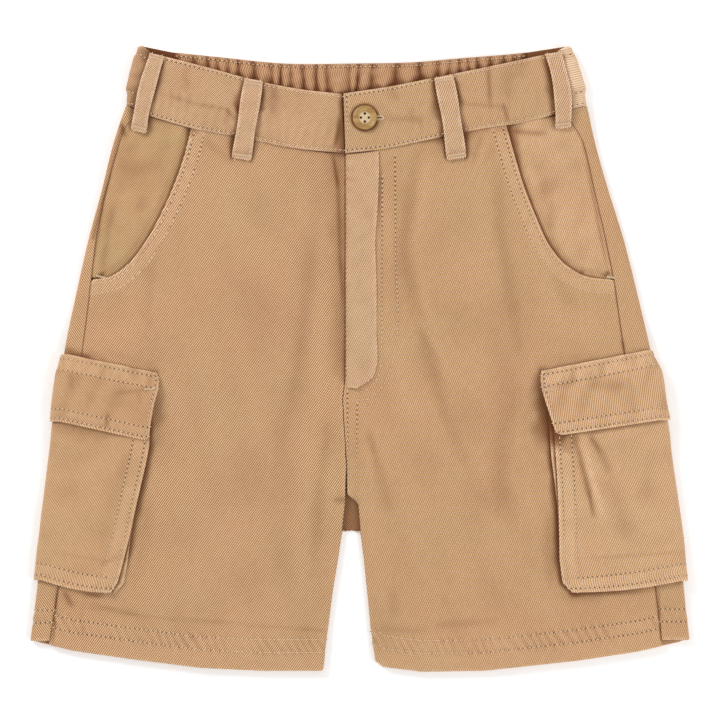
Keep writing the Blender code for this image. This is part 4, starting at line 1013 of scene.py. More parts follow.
def front_detail(side, x, y):
    """Sewn details of a front: what they raise it by, and how far its edges have rolled."""
    mouth = near_line(x, y, scoop_line(side, 40))
    above = y - hem_y(x)
    detail = SCOOP_STEP * (1 - ease(SCOOP_FACING - 0.6, SCOOP_FACING + 0.8, mouth))
    for at in SCOOP_ROWS_AT:
        detail -= SCOOP_SINK * channel(mouth, at)
    for at in HEM_ROWS_AT:
        detail -= HEM_SINK * channel(above, at, HEM_SINK_WIDTH)
    detail += hem_puckers(x, y, above)
    inner = side * (x - straight(INNER_EDGES, y, side))
    seam = side * (edge(SIDE_SEAMS, y, side) - x)
    drop = np.maximum(rolled(mouth), rolled(above))
    below_mouth = y < SCOOPS[side][-1].y
    drop = np.maximum(drop, rolled(seam) * below_mouth)
    drop = np.maximum(drop, INNER_DROP * rolled(inner))
    if side == RIGHT:
        for row, sink, _ in FREE_ROWS:
            detail -= sink * channel(near_line(x, y, row), 0.0)
    rub = np.maximum(bell(mouth, WORN_REACH), bell(above, HEM_WORN))
    rub = np.maximum(rub, INSEAM_RUB * bell(inner, WORN_REACH))
    turned = np.maximum(1 - ease(*MOUTH_TURNED, mouth),
                        HEM_TURNED_SHARE * (1 - ease(*HEM_TURNED, above)))
    rub = np.maximum(rub, TURNED_RUB * turned)
    return detail, drop, rub


def front_row(side, plan):
    """A stitched row on a front, from plan points."""
    plan = np.asarray(plan)
    x, y = plan[:, 0], plan[:, 1]
    detail, _, _ = front_detail(side, x, y)
    stitch_line(np.stack([x, y, front_plain(side, x, y) + detail + THREAD_LIFT], axis=1))


def beside(line, distance):
    """A plan line moved sideways, to its right hand."""
    run = np.gradient(line, axis=0)
    run /= np.hypot(*run.T)[:, None]
    return line + np.stack([run[:, 1], -run[:, 0]], axis=1) * distance


def hem_cloth(above):
    """Extra wall inside the turned hem."""
    return HEM_INNER * (1 - ease(HEM_HEIGHT - 1.5, HEM_HEIGHT, above))


def front(side):
    """A front with its scooped mouth, its turned hem and their stitched rows."""
    plan = front_plan(side)
    x, y = plan[..., 0], plan[..., 1]
    plain = np.stack([x, y, front_plain(side, x, y)], axis=2)
    detail, drop, rub = front_detail(side, x, y)
    inward = side * (x - straight(INNER_EDGES, y, side))
    wall = CLOTH + hem_cloth(y - hem_y(x)) * ease(HEM_CLOTH_FROM, HEM_CLOTH_FULL, inward)
    make_shell(of("front_panel", side), of("front", side), plain, wall, FINISHES["leg", side],
               detail, worn=rub, shape=drop, by_plan=True)
    scoop = scoop_line(side)
    for at in SCOOP_ROWS_AT:
        row = beside(scoop, side * at)
        inside = row[:, 1] < waist_y(row[:, 0]) - ROW_CLEAR
        inside &= side * (edge(SIDE_SEAMS, row[:, 1], side) - row[:, 0]) > ROW_CLEAR
        front_row(side, row[inside])
    foot_in = straight(INNER_EDGES, INNER_EDGES[-1].y, side)
    for at in HEM_ROWS_AT:
        row_x = np.linspace(edge(SIDE_SEAMS, SIDE_SEAMS[-1].y, side) - side * 1.0,
                            foot_in + side * 1.6, 120)
        row_y = hem_y(row_x) + at
        inside = side * (row_x - straight(INNER_EDGES, row_y, side)) > 0.8
        inside &= side * (edge(SIDE_SEAMS, row_y, side) - row_x) > ROW_CLEAR
        front_row(side, np.stack([row_x, row_y], axis=1)[inside])
    if side == RIGHT:
        for row, _, count in FREE_ROWS:
            front_row(side, polyline(row, np.linspace(0, 1, count)))


# --- backs ----------
NEAR_SEAM = (0.0, 0.3, 0.75, 1.4, 2.4)
BACK_TOP_COLUMNS = 8
BACK_TURNS = np.linspace(90, -90, 15)
BACK_UNDER_COLUMNS = 44
BACK_MIDDLE_ROWS = 118
CENTRE_SEAM_ROW = 2.4    # a stitched row from the centre seam
TOP_ROW = 1.6            # and from the waist seam
BACK_TOP_SKEW = 0.125    # share of its length where the rows slant to meet the waist seam
SETTLE_ROUNDS = 5
LEVEL_REACH, LEVEL_ROWS = 16.0, 24.0     # how far the crotch's level line draws the rows
LEVEL_STEP = 0.4         # and from the last row at the centre to the first of the parted legs


def back_edge_x(side, y, parted):
    """Inner edge of a back: centre-back seam, then the inseam on rows where the legs are parted."""
    return np.where(parted, straight(INNER_EDGES, y, side), BACK_CENTRE + side * JOIN / 2)


def back_y(x, share):
    return mix(back_waist_y(x) - JOIN, hem_y(x), share)


def crotch_level(side, x, y, share, ends):
    """How far a row moves so that the backs' edge between the legs is one straight line.

    ends are the shares of the last row that reaches the centre seam and of the next one.
    """
    parted = share > ends[0]
    inward = side * (x - straight(INNER_EDGES, CROTCH_BOTTOM, side))
    near = 1 - ease(0.0, LEVEL_REACH, inward)
    near = near * (1 - ease(0.0, LEVEL_ROWS, np.abs(y - CROTCH_BOTTOM)))
    level = CROTCH_BOTTOM - LEVEL_STEP * parted
    return near * (level - back_y(x, np.where(parted, ends[1], ends[0])))


def settle(place, share, side=0, ends=None):
    """A column's points on the back's rows: where it crosses a row depends on its height."""
    y = mix(BACK_WAIST_SIDE, HEM[0].y, share)
    for _ in range(SETTLE_ROUNDS):
        x = place(y)
        y = back_y(x, share)
        if ends is not None:
            y = y + crotch_level(side, x, y, share, ends)
    return place(y), y


def back(side):
    """A back: from the side seam on the front face, round the leg's fold and beneath."""
    waist = BACK_WAIST_SIDE - JOIN
    foot = HEM[-1].y if side == RIGHT else HEM[0].y
    share = spaced(waist - foot, BACK_MIDDLE_ROWS, EDGE_STEPS, NEAR_HEM) / (waist - foot)
    _, fold_y = settle(lambda y: edge(LEG_FOLDS, y, side), share)
    columns = []
    skew = (BACK_WAIST_SIDE - BAND_END[side].low_y) * np.maximum(0.0, 1 - share / BACK_TOP_SKEW)
    width = fold_start(side, fold_y) - edge(SIDE_SEAMS, fold_y, side)
    steps = np.array([spaced(abs(w), BACK_TOP_COLUMNS, NEAR_SEAM, (0.0,)) / abs(w) for w in width])
    for step in steps.T:
        y = fold_y - skew * (1 - step)
        x = mix(edge(SIDE_SEAMS, y, side) + side * JOIN / 2, fold_start(side, y), step)
        columns.append(np.stack([x, y, leg_top(side, x, y)], axis=1))
    for angle in BACK_TURNS[1:]:
        x, z = around_leg(side, fold_y, angle, 0.0)
        columns.append(np.stack([x, fold_y, z], axis=1))
    parted = back_y(straight(INNER_EDGES, CROTCH_BOTTOM, side), share) < CROTCH_BOTTOM - 1.0
    ends = share[~parted][-1], share[parted][0]
    inner = spaced(1.0, BACK_UNDER_COLUMNS, (0.0,), (0.0, 0.004, 0.009, 0.015))
    for across in inner[1:]:
        x, y = settle(lambda y: mix(edge(LEG_FOLDS, y, side) - side * LEG_FOLD,
                                    back_edge_x(side, y, parted), across), share, side, ends)
        gap = side * (x - back_edge_x(side, y, parted))
        turned = (BODY_HEIGHT / 2 - SEAM_GAP) * parted * inseam_turn(gap, y)
        columns.append(np.stack([x, y, lift(side, x, y) + turned], axis=1))
    plain = np.stack(columns, axis=1)
    away = gaps(plain)
    rows = [("foot", at) for at in HEM_ROWS_AT]
    detail = drawn(away, rows + [("top", TOP_ROW)])
    detail += hem_puckers(plain[..., 0], plain[..., 1], away["foot"])
    under = np.arange(plain.shape[1]) > steps.shape[1] + len(BACK_TURNS) - 4
    detail = np.where(under[None], np.minimum(detail, 0.0), detail)
    wall = CLOTH + hem_cloth(away["foot"]) * under
    wall = mix(CLOTH, wall, ease(HEM_CLOTH_FROM, HEM_CLOTH_FULL, away["last"]))
    last_on_top = steps.shape[1] - 1
    round_fold = away["first"][:, last_on_top:]
    cloth = side * plain[..., 0]
    cloth[:, last_on_top:] = cloth[:, last_on_top, None] + round_fold - round_fold[:, :1]
    shell = make_shell(of("back_panel", side), of("back", side), plain, wall,
                       FINISHES["leg", side], detail,
                       roll_edges=("first", "foot"), worn_edges=("foot",),
                       along=cloth - away["first"])
    sew(shell, rows + [("last", CENTRE_SEAM_ROW, 0.0, 0.78)])


# --- hip pocket facing ----------
FACING_TOP = 147.0
FACING_FOOT_GAP = 0.6
FACING_TUCK = 7.0        # it runs on under the front by this
FACING_OPEN = 6.0        # it starts to sink this far outside the mouth
FACING_SUNK = 1.6        # and is sunk from here
FACING_DROP = 1.5        # by this
FACING_CORNER = 0.02     # rows that meet the waist seam stay this far apart


def facing(side):
    """The cloth inside the pocket mouth: level with the side seam, sunk under the front."""
    share = np.linspace(0, 0.985, 84)
    mouth = polyline(SCOOPS[side], share)
    ahead = polyline(SCOOPS[side], share + 0.01) - polyline(SCOOPS[side], share - 0.01)
    ahead /= np.hypot(*ahead.T)[:, None]
    inward = np.stack([ahead[:, 1], -ahead[:, 0]], axis=1) * side
    seam_y = mix(FACING_TOP, SCOOPS[side][-1].y + FACING_FOOT_GAP, share)
    seam = np.stack([edge(SIDE_SEAMS, seam_y, side) - side * JOIN, seam_y], axis=1)
    width = np.hypot(*(seam - mouth).T)
    opened = mouth - inward * np.minimum(FACING_OPEN, 0.5 * width)[:, None]
    sunk = mouth - inward * np.minimum(FACING_SUNK, 0.25 * width)[:, None]
    tucked = mouth + inward * FACING_TUCK
    steps = []
    for start, end, depths, shares in (
            (seam, opened, (0, 0), np.linspace(0, 1, 22)[:-1] ** 1.2),
            (opened, sunk, (0, 1), np.linspace(0, 1, 8)[:-1]),
            (sunk, tucked, (1, 1), np.linspace(0, 1, 7))):
        for at in shares:
            steps.append((mix(start, end, at), mix(*depths, ease(0, 1, at))))
    x = np.stack([place[:, 0] for place, _ in steps], axis=1)
    y = np.stack([place[:, 1] for place, _ in steps], axis=1)
    depth = np.array([d for _, d in steps])[None]
    row = np.arange(len(share))[:, None]
    y = np.minimum(y, waist_y(x) - JOIN - FACING_CORNER * row)
    plain = np.stack([x, y, leg_top(side, x, y) - depth * FACING_DROP], axis=2)
    from_seam = gaps(plain)["first"]
    detail = 0.22 * waves(x, y, 14.0, 41) * ease(1.0, 8.0, from_seam) * (1 - depth)
    make_shell(of("pocket_facing", side), of("hip_facing", side), plain, FACING_CLOTH,
               FINISHES["facing", side], detail,
               shape=0.8 * rolled(from_seam), by_plan=True)


# --- waistband ----------
BAND_ROW = 1.8           # the band's stitching from its two edges
BAND_DEEP = 36.0
HALF_BAND = 120.0        # length of a front half
BAND_CROWN = 0.3         # the band is fuller along its middle
BAND_PUCKER = 0.3        # puckers over the seam allowance inside the band's lower half
BAND_PUCKER_PITCH = 6.0
BAND_EDGE_ROLL = 0.3
BAND_CREASES = rows_of(Fold, [
    (-73, 151, -83, 142, 2.6, 0.5), (-80, 156, -72, 150, 3, 0.3),
    (-112, 158, -101, 150, 3.6, 0.3), (84, 164, 92, 150, 4, 0.3), (28, 156, 36, 140, 4, 0.3),
    (70, 150, 78, 158, 3, 0.25)])


def wedge_dip(x, y):
    """The left half sinks where it runs under the right half."""
    end = FRONT_BAND[LEFT][-1]
    line = mix(WEDGE_TOP, WEDGE_FOOT, (end.top_y - y) / (end.top_y - end.low_y))
    return ease(-1.0, 2.0, x - line)


def front_band(side):
    """A front half of the waistband: flat doubled cloth."""
    along = spaced(HALF_BAND, 124) / HALF_BAND * (len(FRONT_BAND[side]) - 1)
    number = np.arange(len(FRONT_BAND[side]))
    top_x, top_y, low_x, low_y = (curve(number, values, along)
                                  for values in np.transpose(FRONT_BAND[side]))
    close = EDGE_STEPS + (BAND_ROW,)
    share = (spaced(BAND_DEEP, 30, close, close) / BAND_DEEP)[:, None]
    x, y = mix(top_x, low_x, share), mix(top_y, low_y, share)
    sunk = wedge_dip(x, y) if side == LEFT else np.zeros_like(x)
    plain = np.stack([x, y, BAND_HEIGHT - WEDGE_DIP * sunk], axis=2)
    away = gaps(plain)
    rows = [("top", BAND_ROW), ("foot", BAND_ROW)]
    if side == RIGHT:
        rows.append(("first", BAND_ROW, 0.05, 0.95))
    detail = drawn(away, rows) + BAND_CROWN * np.sin(math.pi * np.clip(share, 0, 1)) * (1 - sunk)
    detail += 0.27 * waves(x, y, 24.0, 51) + 0.10 * waves(x, y, 7.0, 52)
    detail += crease(BAND_CREASES, x, y)
    pucker = np.sin(math.tau * away["first"] / BAND_PUCKER_PITCH + 1.6 * waves(x, y, 30.0, 53))
    lower = ease(0.42, 0.55, share) * (1 - ease(0.88, 1.0, share))
    detail += BAND_PUCKER * (pucker + 0.4) * lower * (0.7 + 0.3 * waves(x, y, 40.0, 54))
    shell = make_shell(of("front_band", side), of("waistband", side), plain,
                       BAND_CLOTH - WEDGE_THIN * sunk, FINISHES["band", side],
                       detail, roll_edges=ALL_EDGES,
                       worn_edges=("top", "foot"), roll=BAND_EDGE_ROLL)
    sew(shell, rows)


CHANNEL_SHARES = (0.14, 0.76)    # the elastic's channel, as shares of the back band's height
CHANNEL_PUFF = 0.8
GATHER_ROW = 2.0         # the gathers' stitching from the band's top edge
BAND_END_COLUMNS = 12    # the band's ends that show beside the side loops
GATHER_LEAN = 2.6        # a fold leans by up to this between the band's edges


def gather_wave(x, share):
    """Height of the back band's inner face: deep folds with round crests, each leaning its way."""
    random = np.random.default_rng(61)
    lean = random.uniform(-1.0, 1.0, len(GATHERS)) * GATHER_LEAN
    wander = random.uniform(0.5, 1.6, len(GATHERS))
    feet = [g.x + lean[i] * (share[:, 0] - 0.3) + 0.5 * np.sin(6.0 * share[:, 0] + 9 * wander[i])
            for i, g in enumerate(GATHERS)]
    strength = 1 - 0.3 * ease(0.30, 0.05, share) - 0.3 * ease(0.7, 0.85, share)
    crest = np.full(x.shape, 1.0)
    depth = np.zeros(x.shape)
    for i in range(len(GATHERS) - 1):
        low, high = feet[i][:, None], feet[i + 1][:, None]
        t = np.clip((x - low) / (high - low), 0, 1)
        inside = (x >= low) & (x < high)
        crest = np.where(inside, np.sin(math.pi * t) ** 0.8, crest)
        depth = np.where(inside, mix(GATHERS[i].depth, GATHERS[i + 1].depth, t), depth)
    return BAND_INNER_WALL + GATHER_CREST - depth * (1 - crest) * strength


def back_band_stretch(side, share):
    """Plan and height of the band's outer face at one side: flat on top, then round the fold."""
    end = BAND_END[side]
    fold_y = mix(BAND_FOLDS[0].y, BAND_FOLDS[-1].y, share)
    end_x, end_y = mix(end.top_x, end.low_x, share), mix(end.top_y, end.low_y, share)
    start_x = straight(BAND_FOLDS, fold_y, side) - side * BAND_FOLD
    columns = [np.stack([mix(end_x, start_x, t), mix(end_y, fold_y, t),
                         np.full(len(share), BAND_HEIGHT)], axis=1)
               for t in np.linspace(0, 1, 9)[:-1]]
    for turn in np.radians(np.linspace(90, -90, 13)):
        columns.append(np.stack([start_x + side * BAND_FOLD * np.cos(turn), fold_y,
                                 BAND_HEIGHT / 2 * (1 + np.sin(turn) * np.ones(len(share)))],
                                axis=1))
    return columns


def gathered_band():
    """The elastic back band: its gathered inner face between two flat sides round the folds."""
    share = spaced(BAND_DEEP, 22, EDGE_STEPS + (2.2,), EDGE_STEPS) / BAND_DEEP
    left = back_band_stretch(LEFT, share)
    right = back_band_stretch(RIGHT, share)[::-1]
    across = np.linspace(GATHERS[0].x, GATHERS[-1].x, 260)
    middle = [np.stack([np.full(len(share), x), mix(back_top_y(x), back_waist_y(x), share),
                        np.zeros(len(share))], axis=1) for x in across]
    plain = np.stack(left + middle + right, axis=1)
    x, y = plain[..., 0], plain[..., 1]
    wall = np.full(plain.shape[:2], BAND_SIDE_WALL)
    inner = slice(len(left), len(left) + len(middle))
    wave = gather_wave(x[:, inner], share[:, None])
    away = gaps(plain)
    wave += 0.12 * waves(x, y, 5.0, 62)[:, inner]
    wave -= 0.4 * channel(away["top"][:, inner], GATHER_ROW, 0.8)
    fade = ease(0.0, 6.0, x[:, inner] - GATHERS[0].x) * ease(0.0, 6.0, GATHERS[-1].x - x[:, inner])
    wall[:, inner] = mix(BAND_SIDE_WALL, np.maximum(wave, 0.9), fade)
    down = share[:, None]
    puff = ease(CHANNEL_SHARES[0], 0.3, down) * (1 - ease(0.6, CHANNEL_SHARES[1], down))
    on_top = ease(BAND_HEIGHT * 0.5, BAND_HEIGHT, plain[..., 2])
    detail = CHANNEL_PUFF * puff * on_top + 0.22 * waves(0.4 * x, y, 6.0, 63) * on_top
    for at in CHANNEL_SHARES:
        detail = detail - 0.3 * channel(down * BAND_DEEP, at * BAND_DEEP) * on_top
    shell = make_shell("gathered_band", "waistband_back", plain, wall, GATHER_MATERIAL,
                       detail, roll_edges=("top", "foot"),
                       worn_edges=("top",))
    use_side_cloth(shell.piece)
    lifted = np.array([0.0, 0.0, THREAD_LIFT])
    open_face = slice(inner.start + 3, inner.stop - 3)
    face = np.stack([x, y, wall], axis=2)[:, open_face]
    stitch_line(line_across(face, away["top"][:, open_face], GATHER_ROW) + lifted)
    for end in (shell.outer[:, :BAND_END_COLUMNS], shell.outer[:, -BAND_END_COLUMNS:]):
        keys = np.broadcast_to(share[:, None], end.shape[:2])
        for at in (*CHANNEL_SHARES, 0.95):
            stitch_line(line_across(end, keys, at) + lifted)


def use_side_cloth(piece):
    """The band's outer sides get the side-band finishes, painted shade on the left and painted
    light on the right: the inner cloth shows in the middle.
    """
    for side in (LEFT, RIGHT):
        piece.data.materials.append(FINISHES["side band", side])
    x = read(piece.data.polygons, "center", 3)[:, 0] / METRES
    outside = (x < GATHERS[0].x - 1.0) + 2 * (x > GATHERS[-1].x + 1.0)
    piece.data.polygons.foreach_set("material_index", outside.astype(np.int32))


# --- fly ----------
FLY_SUNK_EDGE = 0.85     # its long edges lie lower than its middle
FLY_RIPPLES = 0.4
FLY_RIPPLE_PITCH = 6.4
FLY_BEAD = 0.3           # its right edge stands proud
FLY_WIDTH = 18.0


def fly_strip():
    """The doubled strip over the fly, with ripples near its top."""
    number = np.arange(len(FLY))
    down = run_lengths(np.array(FLY)[:, 1:])
    place = np.interp(spaced(down[-1], 104), down, number)
    left_y, right_x, right_y = (curve(number, values, place) for values in np.transpose(FLY))
    across = spaced(FLY_WIDTH, 10) / FLY_WIDTH
    x = mix(FLY_LEFT, right_x[:, None], across)
    y = mix(left_y[:, None], right_y[:, None], across)
    sunk = FLY_SUNK_EDGE * (1 - ease(0.0, 2.4, FLY_WIDTH * across)
                            + 1 - ease(0.0, 2.6, FLY_WIDTH * (1 - across)))
    plain = np.stack([x, y, leg_top(RIGHT, x, y) + SEAM_GAP + CLOTH - sunk[None]], axis=2)
    away = gaps(plain)
    near_top = ease(60.0, 0.0, away["top"])
    ripple = np.sin(math.tau * (y + 0.12 * x) / FLY_RIPPLE_PITCH + 1.2 * waves(x, y, 18.0, 71))
    detail = FLY_RIPPLES * ripple * near_top * ease(9.0, 0.0, away["first"])
    detail = detail + FLY_BEAD * channel(away["last"], 1.4, 1.3)
    detail = detail + 0.14 * waves(x, y, 15.0, 72)
    make_shell("fly_front", "fly", plain, CLOTH, FLY_MATERIAL,
               detail, roll_edges=("first", "last", "foot"),
               worn_edges=("last", "foot"), by_plan=True)


# --- cargo pockets ----------
FLAP_ROWS = [("top", 3.0), ("top", 10.2), ("foot", 2.1), ("foot", 7.8), ("first", 2.1, 0.06, 0.94)]
BAG_ROWS = [("first", 3.0), ("first", 10.2), ("foot", 3.2), ("foot", 10.2)]
BAG_STITCHES = [         # the same rows, from the flap down
    ("first", 3.0, 0.20), ("first", 10.2, 0.20, 0.94), ("foot", 3.2), ("foot", 10.2, 0.10)]
FLAP_CORNER = 3.6
FLAP_BEAD = 0.36         # puckers between the two rows at its top
FLAP_TIGHT = 0.55        # the flap's foot lies closer to the bag, and is thinner, by this
BAG_SINK = 0.9           # the bag lies lower inside its sewn edges
BAG_CREASES = {
    LEFT: rows_of(Fold, [
        (-150, -70, -156, -118, 6, 0.15), (-176, -60, -168, -86, 5, 0.12),
        (-132, -60, -140, -78, 5, 0.15)]),
    RIGHT: rows_of(Fold, [
        (134.4, -57.6, 143.4, -91, 2.4, -0.75), (131.6, -58.4, 140.4, -91.6, 1.8, 0.7),
        (152, -76, 160, -112, 6, 0.3), (176, -52, 170, -84, 5, 0.3)])}
FLAP_CREASES = {
    LEFT: rows_of(Fold, [
        (-132.5, -19.5, -131.4, -27, 1.4, 0.45), (-164.6, 0, -166.4, -8.4, 2.6, -0.6),
        (-150, -12, -146, -32, 6, 0.25)]),
    RIGHT: rows_of(Fold, [
        (116, -14, 124, -30, 5, 0.3), (157, -3, 160, -12, 2.6, -0.5),
        (140, -10, 148, -32, 7, 0.25)])}
SEWN_STEPS = EDGE_STEPS + (2.2, 3.0, 3.8)    # and rows beside the stitching
ARC_STEPS = np.linspace(0, 1, 13)[1:-1]
UNDER_STEPS = np.concatenate([np.linspace(0, 0.93, 16), [0.965, 0.985, 1.0]])


def pocket_places(width):
    """Columns of a pocket piece: 0 to 1 over the front, to 2 round the fold, to 3 beneath."""
    front_part = spaced(width, int(width / 1.25), EDGE_STEPS + (2.1, 3.0, 3.9), (0.0,)) / width
    return np.concatenate([front_part, 1 + ARC_STEPS, 2 + UNDER_STEPS])


def pocket_grid(side, rows, place, above, under, sag=0.0):
    """Points of a pocket piece that lies on the leg, goes round its fold and lies beneath it."""
    edge_x, edge_y, fold_y = (np.asarray(v)[:, None] for v in rows)
    start_x = fold_start(side, fold_y)
    on = np.minimum(place, 1)
    top_x = mix(edge_x, start_x, on)
    top_y = mix(edge_y, fold_y, on) - sag * np.sin(math.pi * np.maximum(on, 0))
    turn = np.clip(place - 1, 0, 1)
    offset = mix(above, under, ease(0.5, 1.0, turn))
    turn_x, turn_z = around_leg(side, fold_y, 90 - 180 * turn, offset)
    inward = np.maximum(place - 2, 0) * (POCKET_BACK - LEG_FOLD)
    low_x, low_y = start_x - side * inward, fold_y - POCKET_SLOPE * inward
    x = np.select([place <= 1, place <= 2], [top_x, turn_x], low_x)
    y = np.select([place <= 1, place <= 2], [top_y, fold_y + 0 * turn], low_y)
    z = np.select([place <= 1, place <= 2], [leg_top(side, top_x, top_y) + above, turn_z],
                  lift(side, low_x, low_y) - under)
    return np.stack([x, y, z], axis=2)


def pocket_rows(table, count, near, far, *more):
    """Rows of a pocket's table read at close distances down its front edge."""
    down = run_lengths(np.array(table)[:, :2])
    at = spaced(down[-1], count, near, far)
    rows = [np.interp(at, down, values) for values in np.transpose(table)]
    return rows, [np.interp(at, down, values)[:, None] for values in more]


def pocket_piece(kind, side, plain, wall, detail, roll_edges, worn_edges, rub=0.0):
    """A pocket's flap, bag or gusset."""
    finish = FINISHES["flap" if kind == "flap" else "bag", side]
    return make_shell(of("pocket_" + kind, side), of("cargo_" + kind, side), plain, wall, finish,
                      detail,
                      roll_edges=roll_edges, worn_edges=worn_edges, worn=rub)


def cargo_flap(side):
    rows, (rise,) = pocket_rows(FLAPS[side], 26, SEWN_STEPS, SEWN_STEPS, FLAP_RISE)
    width = abs(fold_start(side, rows[2][0]) - rows[0][0])
    plain = pocket_grid(side, rows, pocket_places(width)[None], rise, FLAP_UNDER)
    plain = round_corners(plain, [("first", "foot")], FLAP_CORNER)
    away = gaps(plain)
    tight = (1 - ease(0.5, 6.0, away["foot"])) * (plain[..., 2] > BODY_HEIGHT)
    plain[..., 2] -= FLAP_TIGHT * tight
    x, y = plain[..., 0], plain[..., 1]
    detail = drawn(away, FLAP_ROWS) + crease(FLAP_CREASES[side], x, y)
    bead = FLAP_BEAD * np.sin(math.tau * away["first"] / 7.5 + 1.3 * waves(x, y, 24.0, 82))
    detail += bead * channel(away["top"], 6.6, 3.0) + 0.24 * waves(x, y, 16.0, 81)
    on_top = plain[..., 2] > BODY_HEIGHT / 2
    detail = np.where(on_top, detail, np.minimum(drawn(away, FLAP_ROWS), 0.0))
    rub = np.maximum(1 - ease(9.6, 10.8, away["top"]), 1 - ease(7.2, 8.4, away["foot"]))
    shell = pocket_piece("flap", side, plain, CLOTH - FLAP_TIGHT * tight, detail,
                         ALL_EDGES, ("foot", "first", "top"), TURNED_RUB * rub)
    sew(shell, FLAP_ROWS)


def cargo_bag(side):
    sags = [0.0] * (len(BAGS[side]) - 1) + [BAG_SAG]
    rows, (sag,) = pocket_rows(BAGS[side], 84, EDGE_STEPS, SEWN_STEPS, sags)
    width = abs(fold_start(side, np.median(rows[2])) - np.median(rows[0]))
    plain = pocket_grid(side, rows, pocket_places(width)[None], BAG_OFFSET, BAG_UNDER, sag)
    away = gaps(plain)
    x, y = plain[..., 0], plain[..., 1]
    inside = np.minimum(away["first"], away["foot"])
    detail = drawn(away, BAG_ROWS) + crease(BAG_CREASES[side], x, y)
    on_top = ease(BODY_HEIGHT * 0.7, BODY_HEIGHT, plain[..., 2])
    plain[..., 2] -= BAG_SINK * ease(10.0, 26.0, inside) * on_top
    detail = (detail + 0.12 * waves(x, y, 21.0, 83)) * on_top
    detail += np.minimum(drawn(away, BAG_ROWS), 0.0) * (1 - on_top)
    shell = pocket_piece("bag", side, plain, CLOTH, detail,
                         ("foot", "first", "last"), ("foot", "first"),
                         TURNED_RUB * (1 - ease(9.8, 11.0, inside)))
    sew(shell, BAG_STITCHES)


GUSSET_TOP = 0.03        # the strip starts beneath the flap
GUSSET_PLEAT = 0.35      # depth of the crease along the folded strip
GUSSET_OUT = SEAM_GAP + FACING_CLOTH


def pocket_row_at(table, share):
    """A pocket's row at a share of its length."""
    number = np.arange(len(table))
    at = np.asarray(share) * (len(table) - 1)
    return [np.interp(at, number, values) for values in np.transpose(table)]


def cargo_gusset(side):
    """The bellows strip beneath the bag's front and lower edges, mitred at the corner."""
    table = BAGS[side]
    middle = pocket_row_at(table, 0.5)
    front_width = abs(fold_start(side, middle[2]) - middle[0])
    height = abs(table[-1].edge_y - table[0].edge_y)
    lines = []
    for inset_share in spaced(GUSSET_WIDTH, 7, EDGE_STEPS, (0.0, 0.6)) / GUSSET_WIDTH:
        place_in = inset_share * GUSSET_WIDTH / front_width
        share_in = 1 - inset_share * GUSSET_WIDTH / height
        share = mix(GUSSET_TOP, share_in, np.linspace(0, 1, 90))
        bulge = np.interp(share, np.linspace(0, 1, len(table)), GUSSET_BULGE[side])
        place = place_in - (1 - inset_share) * bulge / front_width
        down = [pocket_row_at(table, s) for s in share]
        over_place = mix(place_in, 1.0, np.linspace(0, 1, 60)[1:])
        line = [pocket_grid(side, [[v] for v in row], np.array([[p]]), GUSSET_OUT, GUSSET_OUT)[0, 0]
                for row, p in zip(down, place)]
        last = pocket_row_at(table, share_in)
        over = pocket_grid(side, [[v] for v in last], over_place[None], GUSSET_OUT, GUSSET_OUT)[0]
        lines.append(np.concatenate([np.array(line), over]))
    plain = np.array(lines)
    away = gaps(plain)
    x, y = plain[..., 0], plain[..., 1]
    detail = 0.12 * waves(x, y, 9.0, 84) - GUSSET_PLEAT * channel(away["top"], 3.2, 0.5)
    pocket_piece("gusset", side, plain, FACING_CLOTH, detail, ("top",), ("top",))


# --- belt loops ----------
LOOP_ROW = 1.6           # stitched rows from a loop's long edges
LOOP_TACK = 2.6          # and the tacks from its ends
LOOP_TACK_SINK = 0.35
LOOP_CORNER = 2.0


def belt_loop(loop):
    """A folded strip over the band, tacked at both ends."""
    axis = np.array([loop.low_x - loop.top_x, loop.low_y - loop.top_y])
    length = np.hypot(*axis)
    axis /= length
    sideways = np.array([-axis[1], axis[0]])
    t = (spaced(length, 62) / length)[:, None]
    across = (spaced(loop.width, 10) / loop.width - 0.5)[None]
    ragged = 0.25 * np.sin(9.0 * t + loop.top_x) * np.sign(across)
    centre_x = mix(loop.top_x, loop.low_x, t) + loop.bow * np.sin(math.pi * t)
    centre_y = mix(loop.top_y, loop.low_y, t)
    x = centre_x + sideways[0] * (across * loop.width + ragged * np.abs(across) * 2)
    y = centre_y + sideways[1] * across * loop.width
    side = LEFT if loop.top_x < 0 else RIGHT
    foot = leg_top(side, centre_x, centre_y)
    base = mix(BAND_HEIGHT, np.minimum(foot, BAND_HEIGHT), ease(*LOOP_STEP_DOWN, t))
    stand = LOOP_ARCH * np.sin(math.pi * t) ** LOOP_ARCH_POWER
    plain = np.stack([x, y, base + SEAM_GAP + stand + LOOP_CLOTH + 0 * x], axis=2)
    plain = round_corners(plain, [("first", "foot"), ("last", "foot")], LOOP_CORNER)
    away = gaps(plain)
    rows = [("first", LOOP_ROW), ("last", LOOP_ROW)]
    detail = drawn(away, rows, 0.2) + 0.12 * waves(x, y, 9.0, 91)
    tacks = [channel(away[end], LOOP_TACK, 1.0) for end in ("top", "foot")]
    detail -= LOOP_TACK_SINK * tacks[0] + LOOP_TACK_SINK * tacks[1]
    shell = make_shell("belt_" + loop.name, loop.name, plain, LOOP_CLOTH,
                       FINISHES["loop", side],
                       detail,
                       roll_edges=ALL_EDGES, worn_edges=ALL_EDGES)
    PLAIN_ROWS.extend(inset(shell, *row) for row in rows)
    for name_of_edge in ("top", "foot"):
        TACKS.append(inset(shell, name_of_edge, LOOP_TACK, 0.12, 0.88))


